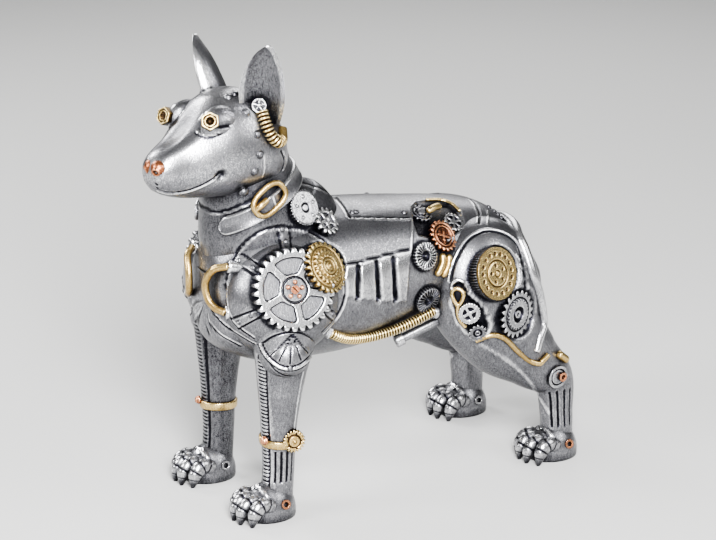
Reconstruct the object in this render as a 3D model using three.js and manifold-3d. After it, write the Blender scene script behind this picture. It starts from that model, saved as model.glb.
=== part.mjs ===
// A standing bull terrier in steampunk dress, cast in one piece and painted as aged metal.
// Frame: the dog faces -Y, its left side is +X, +Z is up, and its paws stand on z = 0.
import * as THREE from "three";
import { mergeVertices } from "three/addons/utils/BufferGeometryUtils.js";
import Module from "manifold-3d";

const wasm = await Module();
wasm.setup();

// Driving dimension: floor to ear tips, in millimetres. Pose, proportions and carving are shares of it.
const figureHeight = 286;
const u = figureHeight / 100;

const LEFT = 1;
const RIGHT = -1;
const BOTH = [LEFT, RIGHT];
const UP = new THREE.Vector3(0, 0, 1);
const SIDEWAYS = new THREE.Vector3(1, 0, 0);
const SPHERE_AXIS = new THREE.Vector3(0, 1, 0);

// Facets of each form: how many round it, then how many along it.
const FACETS = {
  torso: [16, 12],
  neck: [12, 5],
  head: [14, 12],
  brow: [8, 5],
  ear: [8, 6],
  foreleg: [10, 6],
  hindleg: [10, 8],
  dome: [12, 7],
  elbow: [9, 5],
  foot: [8, 5],
  toe: [5, 3],
  tail: [6, 9],
  tube: [5, 9],
  pipe: [6, 2],
  earHose: [5, 6],
  nose: [8, 5],
};

// Points are written in hundredths of the figure's height.
const at = (x, y, z) => new THREE.Vector3(x, y, z).multiplyScalar(u);

// A closed three.js geometry as a manifold solid.
function solid(geometry) {
  const bare = geometry.clone();
  bare.deleteAttribute("normal");
  bare.deleteAttribute("uv");
  const merged = mergeVertices(bare, 1e-4);
  const mesh = new wasm.Mesh({
    numProp: 3,
    vertProperties: merged.attributes.position.array,
    triVerts: new Uint32Array(merged.index.array),
  });
  const made = new wasm.Manifold(mesh);
  if (made.volume() > 0) return made;
  for (let i = 0; i < mesh.triVerts.length; i += 3) mesh.triVerts.subarray(i, i + 3).reverse();
  return new wasm.Manifold(mesh);
}

// Closed skin over rings of points, each ring with the same count, with a fan over each end.
function skin(rings) {
  const sides = rings[0].length;
  const points = rings.flat();
  const faces = [];
  for (let r = 0; r + 1 < rings.length; r++) {
    for (let i = 0; i < sides; i++) {
      const a = r * sides + i;
      const b = r * sides + ((i + 1) % sides);
      faces.push(a, b, b + sides, a, b + sides, a + sides);
    }
  }
  for (const [r, flip] of [[0, true], [rings.length - 1, false]]) {
    const middle = rings[r].reduce((s, p) => s.add(p), new THREE.Vector3()).divideScalar(sides);
    points.push(middle);
    for (let i = 0; i < sides; i++) {
      const a = r * sides + i;
      const b = r * sides + ((i + 1) % sides);
      faces.push(...(flip ? [b, a] : [a, b]), points.length - 1);
    }
  }
  const geometry = new THREE.BufferGeometry().setFromPoints(points);
  geometry.setIndex(faces);
  return geometry;
}

// One ring: half width w along side, reaching above and below the centre along up.
function ring(centre, side, up, w, above, below, sides, power = 2) {
  const bend = (v) => Math.sign(v) * Math.abs(v) ** (2 / power);
  return Array.from({ length: sides }, (_, i) => {
    const t = (2 * Math.PI * i) / sides;
    const h = bend(Math.sin(t));
    return centre
      .clone()
      .addScaledVector(side, bend(Math.cos(t)) * w * u)
      .addScaledVector(up, h * (h > 0 ? above : below) * u);
  });
}

// Rows of a table, blended smoothly at share t of the way down it.
function row(table, t) {
  const x = t * (table.length - 1);
  const i = Math.min(Math.floor(x), table.length - 2);
  const f = x - i;
  const [a, b, c, d] = [i - 1, i, i + 1, i + 2].map(
    (k) => table[Math.max(0, Math.min(table.length - 1, k))],
  );
  return b.map((_, k) => {
    const m0 = (c[k] - a[k]) / 2;
    const m1 = (d[k] - b[k]) / 2;
    const f2 = f * f;
    const f3 = f2 * f;
    return (2 * f3 - 3 * f2 + 1) * b[k] + (f3 - 2 * f2 + f) * m0 +
      (3 * f2 - 2 * f3) * c[k] + (f3 - f2) * m1;
  });
}

// A limb whose rows are [x, y, z, half width, half depth], cut square to its path.
function limb(table, [sides, rows]) {
  const centres = [];
  for (let i = 0; i <= rows; i++) centres.push(row(table, i / rows));
  const rings = centres.map(([x, y, z, w, d], i) => {
    const [before, after] = [centres[Math.max(0, i - 1)], centres[Math.min(rows, i + 1)]];
    const path = at(after[0] - before[0], after[1] - before[1], after[2] - before[2]).normalize();
    const depth = new THREE.Vector3().crossVectors(path, SIDEWAYS).normalize();
    const side = new THREE.Vector3().crossVectors(depth, path).normalize();
    return ring(at(x, y, z), side, depth, w, d, d, sides);
  });
  return solid(skin(rings));
}

// Torso rows: [y, centre height, half width, above, below].
const TORSO = [
  [-30.0, 45.5, 3.5, 5.0, 5.5],
  [-28.8, 45.5, 7.5, 10.0, 9.6],
  [-25.0, 46.5, 11.5, 13.0, 13.5],
  [-18.5, 47.0, 15.2, 14.5, 16.5],
  [-11.0, 47.0, 16.4, 15.2, 17.0],
  [-2.0, 46.5, 16.2, 15.3, 16.8],
  [8.0, 46.0, 15.2, 14.8, 15.6],
  [18.0, 45.8, 14.4, 13.6, 13.6],
  [28.0, 45.0, 14.4, 13.0, 11.5],
  [37.0, 43.0, 13.6, 12.6, 11.0],
  [44.0, 40.0, 11.0, 10.6, 11.0],
  [48.5, 37.0, 7.0, 7.0, 9.0],
  [50.5, 35.0, 3.0, 3.0, 4.0],
];
const TORSO_SQUARENESS = 2.3;
function torso() {
  const [sides, rows] = FACETS.torso;
  const rings = [];
  for (let i = 0; i <= rows; i++) {
    const [y, z, w, above, below] = row(TORSO, i / rows);
    rings.push(ring(at(0, y, z), SIDEWAYS, UP, w, above, below, sides, TORSO_SQUARENESS));
  }
  return solid(skin(rings.reverse()));
}

// Limb rows: [x, y, z, half width, half depth]. The neck is one of them.
const NECK = [
  [0, -13.5, 46.0, 12.0, 15.0],
  [0, -14.2, 55.0, 11.6, 16.4],
  [0, -17.4, 62.0, 10.2, 13.2],
  [0, -19.1, 68.0, 9.3, 10.5],
  [0, -19.8, 74.0, 8.4, 9.0],
];

// A table of limb rows with its wall grown outwards.
const grow = (table, wall) => table.map(([x, y, z, w, d]) => [x, y, z, w + wall, d + wall]);
const neck = (wall) => limb(grow(NECK, wall), FACETS.neck);

// The head's own frame: ahead of the neck's axis, out to the left, and up.
const HEAD_YAW = THREE.MathUtils.degToRad(8);
const HEAD_ROLL = THREE.MathUtils.degToRad(5);
const HEAD_PIVOT = [0, -17, 78];
const headFrame = new THREE.Matrix4()
  .makeTranslation(...HEAD_PIVOT)
  .multiply(new THREE.Matrix4().makeRotationZ(HEAD_YAW))
  .multiply(new THREE.Matrix4().makeRotationY(-HEAD_ROLL));
const headPoint = (ahead, out, height) =>
  new THREE.Vector3(out, -ahead, height - HEAD_PIVOT[2]).applyMatrix4(headFrame).multiplyScalar(u);
const headWay = (ahead, out, height) =>
  new THREE.Vector3(out, -ahead, height).transformDirection(headFrame);

// Head rows: [ahead, centre height, half width, above, below].
const HEAD = [
  [27.7, 75.4, 1.2, 1.2, 1.4],
  [27.0, 75.4, 2.9, 2.6, 3.2],
  [24.8, 75.5, 4.1, 4.8, 5.0],
  [21.0, 76.0, 5.4, 7.0, 6.8],
  [16.5, 77.0, 7.4, 9.2, 8.6],
  [11.0, 78.0, 9.2, 11.0, 10.2],
  [5.0, 78.0, 9.8, 11.2, 10.6],
  [0.6, 77.0, 8.8, 9.6, 10.2],
  [-2.9, 75.4, 6.2, 6.6, 8.0],
  [-4.4, 74.0, 2.5, 3.0, 3.0],
];
const HEAD_SQUARENESS = 2.2;
function head() {
  const [sides, rows] = FACETS.head;
  const rings = [];
  for (let i = 0; i <= rows; i++) {
    const [ahead, height, w, above, below] = row(HEAD, i / rows);
    const centre = headPoint(ahead, 0, height);
    rings.push(ring(centre, headWay(0, 1, 0), headWay(0, 0, 1), w, above, below, sides, HEAD_SQUARENESS));
  }
  return solid(skin(rings.reverse()));
}

// Brows that carry the eyes: [ahead, out, up] of the centre and of the radii.
const BROW = { centre: [13.2, 5.4, 83.7], radii: [4.8, 2.7, 3.6] };
function brow(side) {
  const geometry = new THREE.SphereGeometry(1, ...FACETS.brow);
  const [ahead, out, height] = BROW.radii;
  geometry.scale(out * u, ahead * u, height * u);
  geometry.applyMatrix4(new THREE.Matrix4().extractRotation(headFrame));
  const centre = headPoint(BROW.centre[0], BROW.centre[1] * side, BROW.centre[2]);
  geometry.translate(centre.x, centre.y, centre.z);
  return solid(geometry);
}

// Each ear is a cupped leaf that faces forwards and out.
// Rows: [height up the ear, half width, cup depth, wall, lean of the tip].
const EAR = [
  [0.0, 3.6, 1.2, 1.6, 0],
  [4.0, 4.5, 1.8, 1.3, 0],
  [8.0, 4.5, 1.7, 1.1, 0],
  [12.0, 3.7, 1.2, 1.0, 0.2],
  [15.2, 2.1, 0.6, 0.8, 0.7],
  [16.8, 0.6, 0.1, 0.5, 1.1],
];
const EAR_TURN = THREE.MathUtils.degToRad(50);
function ear(side) {
  const root = headPoint(4.9, 8.4 * side, 82.4);
  const axis = headWay(0.06, 0.2 * side, 1);
  const face = headWay(Math.cos(EAR_TURN), side * Math.sin(EAR_TURN), 0);
  const across = new THREE.Vector3().crossVectors(axis, face).normalize();
  const steps = FACETS.ear[0] / 2;
  const rows = FACETS.ear[1];
  const rings = [];
  for (let i = 0; i <= rows; i++) {
    const [height, w, cup, wall, lean] = row(EAR, i / rows);
    const points = [];
    for (const front of [true, false]) {
      for (let k = 0; k < steps; k++) {
        const x = (front ? 1 : -1) * (1 - (2 * k) / steps);
        const sag = -cup * (1 - x * x) - (front ? 0 : wall * Math.sqrt(1 - x ** 4));
        points.push(
          root
            .clone()
            .addScaledVector(axis, height * u)
            .addScaledVector(across, (x * w + lean * side) * u)
            .addScaledVector(face, sag * u),
        );
      }
    }
    rings.push(points);
  }
  return solid(skin(rings));
}

const FORELEG = [
  [12.8, -17.8, 46.0, 5.0, 7.0],
  [13.0, -18.6, 38.0, 5.6, 6.6],
  [12.8, -19.3, 30.0, 4.5, 5.2],
  [12.6, -19.8, 20.0, 3.6, 3.9],
  [12.6, -20.0, 10.0, 3.2, 3.4],
  [12.6, -20.6, 3.0, 3.2, 3.6],
];
const HINDLEG = [
  [10.8, 29.5, 50.0, 5.5, 8.0],
  [11.8, 30.5, 45.0, 7.4, 12.0],
  [12.8, 32.0, 38.0, 7.6, 13.2],
  [14.0, 35.5, 30.0, 6.2, 10.2],
  [15.2, 42.0, 23.0, 4.6, 6.8],
  [15.8, 47.3, 17.5, 3.4, 4.8],
  [16.0, 48.2, 10.0, 3.0, 3.9],
  [16.2, 48.2, 3.5, 3.2, 3.8],
];
// The right hind leg stands a little ahead of the left one.
const HIND_STEP = 1.8;
const stepOf = (side, y) => (side === RIGHT && y > 25 ? HIND_STEP : 0);
const onSide = (table, side) => table.map(([x, y, ...rest]) => [x * side, y - stepOf(side, y), ...rest]);
const foreleg = (side, wall = 0) => limb(grow(onSide(FORELEG, side), wall), FACETS.foreleg);
const hindleg = (side) => limb(onSide(HINDLEG, side), FACETS.hindleg);

// Domes that swell from the body: [out, along, up] of the centre, axis, radius across, height along the axis.
const DOMES = [
  { centre: [8.8, -16.6, 46.0], axis: [1, -0.16, 0.05], across: 12.6, height: 10.2, facets: FACETS.dome },
  { centre: [10.5, 31.0, 42.0], axis: [1, 0, 0.08], across: 13.2, height: 9.2, facets: FACETS.dome },
  { centre: [14.6, -19.6, 36.2], axis: [1, -0.5, 0.6], across: 5.4, height: 4.6, facets: FACETS.elbow },
];
function dome(side, { centre, axis, across, height, facets }) {
  const way = new THREE.Vector3(axis[0] * side, axis[1], axis[2]).normalize();
  const geometry = new THREE.SphereGeometry(1, ...facets);
  geometry.scale(across * u, height * u, across * u);
  geometry.applyQuaternion(new THREE.Quaternion().setFromUnitVectors(SPHERE_AXIS, way));
  const middle = at(centre[0] * side, centre[1] - stepOf(side, centre[1]), centre[2]);
  geometry.translate(middle.x, middle.y, middle.z);
  return solid(geometry);
}

// The bare body, one casting, with flat soles.
const join = (solids) => solids.reduce((whole, piece) => whole.add(piece));
const body = join([
  torso(),
  neck(0),
  head(),
  ...BOTH.flatMap((side) => [brow(side), ear(side), foreleg(side), hindleg(side)]),
  ...BOTH.flatMap((side) => DOMES.map((form) => dome(side, form))),
]);

function geometryOf(manifold) {
  const mesh = manifold.getMesh();
  const geometry = new THREE.BufferGeometry();
  geometry.setAttribute("position", new THREE.BufferAttribute(mesh.vertProperties, 3));
  geometry.setIndex(new THREE.BufferAttribute(mesh.triVerts, 1));
  geometry.computeVertexNormals();
  return geometry;
}

// Where a line meets the bare body first.
const bodyMesh = new THREE.Mesh(geometryOf(body), new THREE.MeshBasicMaterial({ side: THREE.DoubleSide }));
bodyMesh.updateMatrixWorld(true);
const raycaster = new THREE.Raycaster();
const CLEAR_OF_BODY = 45;
function sideHit(side, y, z) {
  raycaster.set(at(CLEAR_OF_BODY * side, y, z), new THREE.Vector3(-side, 0, 0));
  return raycaster.intersectObject(bodyMesh)[0].point;
}

// A frame on the body's side at (y, z): X across, Y up, Z out along the surface, averaged over a radius.
function sideFrame(side, y, z, radius) {
  const r = 0.7 * radius;
  const rear = sideHit(side, y + r, z);
  const front = sideHit(side, y - r, z);
  const top = sideHit(side, y, z + r);
  const low = sideHit(side, y, z - r);
  const out = new THREE.Vector3()
    .crossVectors(rear.clone().sub(front), top.clone().sub(low))
    .multiplyScalar(side)
    .normalize();
  const across = new THREE.Vector3().crossVectors(UP, out).normalize();
  const up = new THREE.Vector3().crossVectors(out, across);
  const middle = rear.add(front).add(top).add(low).multiplyScalar(0.25);
  return new THREE.Matrix4().makeBasis(across, up, out).setPosition(middle);
}

// An outline from polar points, radii in hundredths.
function outline(points, shape = new THREE.Shape()) {
  const [first, ...rest] = points.map(([r, t]) => [r * u * Math.cos(t), r * u * Math.sin(t)]);
  shape.moveTo(...first);
  for (const point of rest) shape.lineTo(...point);
  shape.closePath();
  return shape;
}

// A toothed wheel, with sector windows between its spokes when it has any.
const WINDOW = { outer: 0.74, inner: 0.36, halfSpoke: 0.09 };
function wheelShape(radius, teeth, depth, spokes = 0) {
  const rim = Array.from({ length: 4 * teeth }, (_, i) => {
    const angle = (2 * Math.PI * (i + 0.5 * (i % 2))) / (4 * teeth);
    return [i % 4 < 2 ? radius : radius - depth, angle];
  });
  const shape = outline(rim);
  for (let k = 0; k < spokes; k++) {
    const middle = (2 * Math.PI * (k + 0.5)) / spokes;
    const arc = (share, steps) => {
      const spread = Math.PI / spokes - Math.asin(WINDOW.halfSpoke / share);
      return steps.map((step) => [share * radius, middle + step * spread]);
    };
    const corners = [...arc(WINDOW.outer, [1, 0.4, -0.4, -1]), ...arc(WINDOW.inner, [-0.6, 0.6])];
    shape.holes.push(outline(corners, new THREE.Path()));
  }
  return shape;
}

const discShape = (radius, sides = 12) =>
  outline(Array.from({ length: sides }, (_, i) => [radius, (2 * Math.PI * i) / sides]));

// A flat plate in a frame, from `sunk` under the frame's plane to `proud` over it.
function plate(shape, frame, proud, sunk) {
  const geometry = new THREE.ExtrudeGeometry(shape, { depth: (proud + sunk) * u, bevelEnabled: false });
  geometry.translate(0, 0, -sunk * u);
  geometry.applyMatrix4(frame);
  return solid(geometry);
}

// A round bar along a smooth curve; its radius may change along it.
function bar(points, radius, [sides, steps], closed = false) {
  const curve = new THREE.CatmullRomCurve3(points, closed, "centripetal");
  const frames = curve.computeFrenetFrames(steps, closed);
  const rings = [];
  for (let i = 0; i <= steps - (closed ? 1 : 0); i++) {
    const r = typeof radius === "function" ? radius(i / steps) : radius;
    rings.push(ring(curve.getPointAt(i / steps), frames.normals[i], frames.binormals[i], r, r, r, sides));
  }
  if (!closed) return solid(skin(rings));
  const geometry = skin([...rings, rings[0]]);
  const wallIndices = 6 * sides * steps;
  geometry.setIndex([...geometry.index.array.slice(0, wallIndices)]);
  return solid(geometry);
}
const mirrored = (side, points) => points.map(([x, y, z]) => at(x * side, y, z));

// Wheels on the left side: [y, z, radius, teeth, tooth depth, proud, sunk]. No teeth make a plain disc.
const WHEELS = {
  collarWheel: [-11.6, 64.4, 3.7, 0, 0, 1.0, 2.0],
  pinion: [-7.0, 60.2, 3.0, 7, 0.7, 1.2, 2.5],
  ribWheel: [-10.9, 53.8, 5.5, 11, 0.7, 2.4, 2.5],
  loinWheel: [20.2, 54.2, 3.3, 7, 0.6, 1.6, 2.0],
  flankWheel: [14.8, 50.6, 3.3, 7, 0.6, 0.8, 1.5],
  lowFlankWheel: [15.6, 41.0, 3.0, 0, 0, 0.8, 1.5],
  haunchWheel: [28.6, 45.5, 5.6, 11, 0.5, 1.9, 2.0],
  hipSpur: [35.2, 35.1, 4.9, 9, 0.9, 1.2, 2.0],
  thighWheel: [23.3, 37.9, 2.1, 0, 0, 0.8, 1.5],
};
// The right side is plainer: these wheels only, as flatter discs.
const PLAIN_SIDE = ["ribWheel", "haunchWheel"];
const PLAIN_PROUD = 1.0;

function wheel(side, name) {
  const [y, z, radius, teeth, depth, proud, sunk] = WHEELS[name];
  const shape = teeth && side === LEFT ? wheelShape(radius, teeth, depth) : discShape(radius);
  const height = side === LEFT ? proud : Math.min(proud, PLAIN_PROUD);
  return plate(shape, sideFrame(side, y - stepOf(side, y), z, radius), height, sunk);
}

// The great wheel on the shoulder: a flat spoked wheel whose middle sinks in the dome, and a round boss.
const GREAT_WHEEL = {
  radius: 8.6,
  teeth: 14,
  depth: 0.9,
  spokes: 5,
  proud: 1.2,
  sunk: 1.8,
  boss: 2.3,
  bossProud: 2.0,
};
const PLAIN_WHEEL = { radius: 7.4, back: 1.8 };
function greatWheel(side) {
  const { radius, teeth, depth, spokes, proud, sunk, boss, bossProud } = GREAT_WHEEL;
  const frame = sideFrame(side, -18.4 + (side === LEFT ? 0 : PLAIN_WHEEL.back), 49.0, radius);
  const shape = side === LEFT ? wheelShape(radius, teeth, depth, spokes) : discShape(PLAIN_WHEEL.radius);
  return join([plate(shape, frame, proud, sunk), plate(discShape(boss, 8), frame, bossProud, 0)]);
}

// Ring handles that lie on the chest, their ends sunk in it.
const CHEST_RING = [
  [8.0, -25.5, 53.4],
  [7.4, -28.3, 54.1],
  [5.4, -30.6, 53.2],
  [3.5, -31.4, 50.0],
  [3.9, -31.2, 46.8],
  [5.6, -30.4, 45.0],
  [7.6, -29.2, 44.4],
  [8.4, -26.0, 44.4],
];
const chestRing = (side) => bar(mirrored(side, CHEST_RING), 0.78, FACETS.tube);

// A ribbed hose under each flank, and an open pipe beside the left one.
const BELLY_HOSE = [
  [13.2, -11.0, 40.0],
  [14.6, -8.4, 38.2],
  [13.9, -4.0, 35.9],
  [13.2, 1.0, 34.9],
  [13.4, 6.5, 35.2],
  [13.9, 12.0, 36.5],
  [14.0, 18.5, 38.6],
];
const BELLY_PIPE = [
  [10.6, 10.2, 31.6],
  [12.2, 18.6, 34.6],
  [12.2, 24.0, 36.0],
];
const bellyHose = (side) => bar(mirrored(side, BELLY_HOSE), 0.95, FACETS.tube);
const bellyPipe = bar(mirrored(LEFT, BELLY_PIPE), 0.95, FACETS.pipe);

// The tail comes round the left haunch and down behind the thigh, with its tip above the hock.
const TAIL = [
  [0, 41.0, 51.0],
  [5.0, 41.3, 51.8],
  [9.8, 40.3, 51.6],
  [13.4, 38.9, 50.6],
  [15.4, 39.0, 48.6],
  [17.0, 39.4, 45.6],
  [17.9, 40.0, 42.6],
  [17.9, 41.3, 39.4],
  [17.7, 42.5, 35.4],
  [17.8, 43.0, 31.6],
  [19.0, 41.3, 29.3],
  [19.7, 39.9, 26.3],
];
const TAIL_ROOT = 1.7;
const TAIL_TIP = 0.9;
const tail = bar(mirrored(LEFT, TAIL), (t) => TAIL_ROOT + (TAIL_TIP - TAIL_ROOT) * t, FACETS.tail);

// A hose that comes out of each ear and goes in again behind it: [ahead, out, up] in the head's frame.
const EAR_HOSE = [
  [4.8, 8.6, 85.0],
  [5.0, 9.8, 82.9],
  [4.5, 10.6, 80.5],
  [2.9, 10.6, 78.7],
  [0.9, 9.6, 78.7],
  [-0.4, 8.0, 80.4],
];
const earHose = (side) => {
  const points = EAR_HOSE.map(([ahead, out, height]) => headPoint(ahead, out * side, height));
  return bar(points, 1.15, FACETS.earHose);
};

// Eyes are hexagonal nuts on the brows; the nose is a rounded knob.
function onHead(ahead, out, height, way, geometry) {
  geometry.applyQuaternion(new THREE.Quaternion().setFromUnitVectors(SPHERE_AXIS, way));
  const centre = headPoint(ahead, out, height);
  geometry.translate(centre.x, centre.y, centre.z);
  return solid(geometry);
}
const EYE = { [LEFT]: [16.7, 7.0, 85.2], [RIGHT]: [17.4, -7.0, 84.5] };
const EYE_RADIUS = 1.75;
const EYE_LENGTH = 2.6;
const eyeNut = (side) =>
  onHead(
    ...EYE[side],
    headWay(0.55, 0.8 * side, 0.35).normalize(),
    new THREE.CylinderGeometry(EYE_RADIUS * u, EYE_RADIUS * u, EYE_LENGTH * u, 6),
  );
const NOSE_RADII = [2.3, 2.1, 1.9];
const nose = onHead(
  26.2,
  0.8,
  77.0,
  headWay(1, 0, 0.25).normalize(),
  new THREE.SphereGeometry(1, ...FACETS.nose).scale(...NOSE_RADII.map((r) => r * u)),
);

// What lies between two parallel planes of a form that has grown by a wall.
const WIDER_THAN_BODY = 60;
function band(grown, centre, normal, width) {
  const slab = new THREE.BoxGeometry(WIDER_THAN_BODY * u, WIDER_THAN_BODY * u, width * u);
  slab.applyQuaternion(new THREE.Quaternion().setFromUnitVectors(UP, normal.clone().normalize()));
  slab.translate(centre.x, centre.y, centre.z);
  return grown.intersect(solid(slab));
}

// The collar strap passes round the back of the neck; its two ends stop at the throat.
const STRAP = { wall: 0.8, width: 4.2, halfGap: 4.8 };
const throat = new THREE.BoxGeometry(2 * STRAP.halfGap * u, 12 * u, 30 * u);
throat.translate(0, -31 * u, 66 * u);
const strap = band(neck(STRAP.wall), at(0, -18.4, 66.8), new THREE.Vector3(0, -0.5, 1), STRAP.width)
  .subtract(solid(throat));

// The strap's buckle is an oval link that leans on the left of the neck: [along, across] from its middle.
const BUCKLE = { length: 3.8, width: 2.4, bar: 0.7, lean: 0.62, off: 0.7 };
function buckle() {
  const frame = sideFrame(LEFT, -20.2, 68.4, 3).multiply(new THREE.Matrix4().makeRotationZ(BUCKLE.lean));
  const points = Array.from({ length: 8 }, (_, i) => {
    const t = (2 * Math.PI * i) / 8;
    return at(BUCKLE.length * Math.cos(t), BUCKLE.width * Math.sin(t), BUCKLE.off).applyMatrix4(frame);
  });
  return bar(points, BUCKLE.bar, FACETS.tube, true);
}

// A band round each foreleg above the paw.
const anklet = (side) =>
  band(foreleg(side, 0.6), at(0, -20, 16.8), new THREE.Vector3(0.06 * side, 0.05, 1), 2.0);

// Louvre slots in each flank: [y, lowest z, highest z].
const LOUVRES = [
  [-2.1, 44.8, 52.2],
  [2.8, 43.6, 52.4],
  [7.3, 42.6, 52.6],
];
const LOUVRE_WIDTH = 1.5;
const LOUVRE_DEPTH = 1.7;
function louvre(side, [y, low, high]) {
  const slot = new THREE.BoxGeometry(LOUVRE_WIDTH * u, (high - low) * u, 2 * LOUVRE_DEPTH * u);
  slot.applyMatrix4(sideFrame(side, y, (low + high) / 2, 2));
  return solid(slot);
}

// A washer and bolt head on each hock.
function hockBolt(side) {
  const y = 46.8;
  const frame = sideFrame(side, y - stepOf(side, y), 19.4, 1.5);
  return join([plate(discShape(2.2, 8), frame, 0.6, 1.6), plate(discShape(0.9, 6), frame, 1.6, 1.0)]);
}

// A paw: a domed foot with four toes ending in claws. Toes: [aside, back] from the paw's middle.
const TOES = [
  [-3.9, 1.3],
  [-1.35, 0],
  [1.35, 0],
  [3.9, 1.3],
];
// Toe rows: [share of aside, ahead, height, half width, half depth].
const TOE = [
  [0.8, 2.8, 5.2, 1.4, 1.5],
  [0.95, 6.2, 5.2, 1.55, 1.6],
  [1.0, 8.6, 3.0, 1.4, 1.5],
  [1.02, 9.6, -0.2, 0.5, 0.6],
];
const FOOT_RADII = [4.7, 5.8, 6.4];
const FOOT_BEHIND = [1.8, 1.2];
function paw(x, y) {
  const foot = new THREE.SphereGeometry(1, ...FACETS.foot);
  foot.scale(...FOOT_RADII.map((r) => r * u));
  foot.translate(x * u, (y - FOOT_BEHIND[0]) * u, FOOT_BEHIND[1] * u);
  const toes = TOES.map(([aside, back]) =>
    limb(TOE.map(([share, ahead, z, w, d]) => [x + share * aside, y - ahead + back, z, w, d]), FACETS.toe),
  );
  return join([solid(foot), ...toes]);
}
const PAWS = [
  [12.6, -20.4],
  [16.2, 49.0],
];
const paws = BOTH.flatMap((side) => PAWS.map(([x, y]) => paw(x * side, y - stepOf(side, y))));

// Everything below the soles is cut away.
const ground = new THREE.BoxGeometry(200 * u, 200 * u, 20 * u);
ground.translate(0, 0, -10 * u);

const carved = join([
  body,
  ...paws,
  tail,
  strap,
  buckle(),
  nose,
  bellyPipe,
  ...BOTH.flatMap((side) => [eyeNut(side), earHose(side), chestRing(side), greatWheel(side)]),
  ...BOTH.flatMap((side) => [bellyHose(side), anklet(side), hockBolt(side)]),
  ...Object.keys(WHEELS).map((name) => wheel(LEFT, name)),
  ...PLAIN_SIDE.map((name) => wheel(RIGHT, name)),
]);
const slots = BOTH.flatMap((side) => LOUVRES.map((slot) => louvre(side, slot)));
const casting = [...slots, solid(ground)].reduce((whole, cut) => whole.subtract(cut), carved);

// The origin is on the floor, under the middle of the casting's box.
const { min, max } = casting.boundingBox();
const centred = casting.translate([-(min[0] + max[0]) / 2, -(min[1] + max[1]) / 2, 0]);

const silver = new THREE.MeshStandardMaterial({ color: 0x8d8f94, roughness: 0.35, metalness: 0.9 });
const dog = new THREE.Mesh(geometryOf(centred), silver);
dog.name = "dog";

const figurine = new THREE.Group();
figurine.add(dog);
export default figurine;
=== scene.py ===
# A standing bull terrier in steampunk dress: one painted casting with its fine carving.
# Places and sizes are in hundredths of the figure's height until a mesh is made.
import math

import bpy
import numpy as np
from mathutils import Matrix, Vector
from mathutils.bvhtree import BVHTree


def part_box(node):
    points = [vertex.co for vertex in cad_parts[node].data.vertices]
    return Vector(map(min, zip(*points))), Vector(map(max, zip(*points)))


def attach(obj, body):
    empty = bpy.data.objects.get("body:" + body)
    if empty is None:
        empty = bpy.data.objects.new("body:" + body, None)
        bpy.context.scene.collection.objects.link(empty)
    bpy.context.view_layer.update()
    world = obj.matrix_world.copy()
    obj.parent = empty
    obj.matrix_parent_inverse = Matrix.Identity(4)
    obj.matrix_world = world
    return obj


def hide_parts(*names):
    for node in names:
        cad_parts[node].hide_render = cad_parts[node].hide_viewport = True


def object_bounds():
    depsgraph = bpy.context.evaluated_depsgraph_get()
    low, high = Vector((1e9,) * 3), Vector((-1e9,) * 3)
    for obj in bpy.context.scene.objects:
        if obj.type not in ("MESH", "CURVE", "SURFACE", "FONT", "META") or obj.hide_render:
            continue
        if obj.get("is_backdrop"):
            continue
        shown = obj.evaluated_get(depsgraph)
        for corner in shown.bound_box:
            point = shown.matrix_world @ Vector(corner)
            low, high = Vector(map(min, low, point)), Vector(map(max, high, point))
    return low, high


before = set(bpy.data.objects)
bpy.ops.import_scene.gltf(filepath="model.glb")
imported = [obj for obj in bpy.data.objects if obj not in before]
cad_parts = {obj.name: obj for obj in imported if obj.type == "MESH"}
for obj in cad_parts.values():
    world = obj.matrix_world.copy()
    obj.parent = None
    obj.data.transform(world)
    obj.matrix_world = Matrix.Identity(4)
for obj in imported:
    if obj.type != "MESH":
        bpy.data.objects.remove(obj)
cad_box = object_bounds()

FIGURE_HEIGHT = 0.286
U = FIGURE_HEIGHT / 100
HIND_END = 53.0
MIDDLE = HIND_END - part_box("dog")[1][1] / U

LEFT = 1
RIGHT = -1
BOTH = (LEFT, RIGHT)
SIDE_NAME = {LEFT: "left", RIGHT: "right"}
TAU = 2 * math.pi
UP = np.array([0.0, 0.0, 1.0])
SIDEWAYS = np.array([1.0, 0.0, 0.0])


def vec(*xyz):
    return np.array(xyz, float)


def unit(v):
    v = np.asarray(v, float)
    return v / np.linalg.norm(v)


def smooth(low, high, x):
    t = np.clip((x - low) / (high - low), 0, 1)
    return t * t * (3 - 2 * t)


# Tables of the form, the same as the solid's. Torso: y, centre height, half width, above, below.
TORSO = [
    [-30.0, 45.5, 3.5, 5.0, 5.5],
    [-28.8, 45.5, 7.5, 10.0, 9.6],
    [-25.0, 46.5, 11.5, 13.0, 13.5],
    [-18.5, 47.0, 15.2, 14.5, 16.5],
    [-11.0, 47.0, 16.4, 15.2, 17.0],
    [-2.0, 46.5, 16.2, 15.3, 16.8],
    [8.0, 46.0, 15.2, 14.8, 15.6],
    [18.0, 45.8, 14.4, 13.6, 13.6],
    [28.0, 45.0, 14.4, 13.0, 11.5],
    [37.0, 43.0, 13.6, 12.6, 11.0],
    [44.0, 40.0, 11.0, 10.6, 11.0],
    [48.5, 37.0, 7.0, 7.0, 9.0],
    [50.5, 35.0, 3.0, 3.0, 4.0],
]
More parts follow.
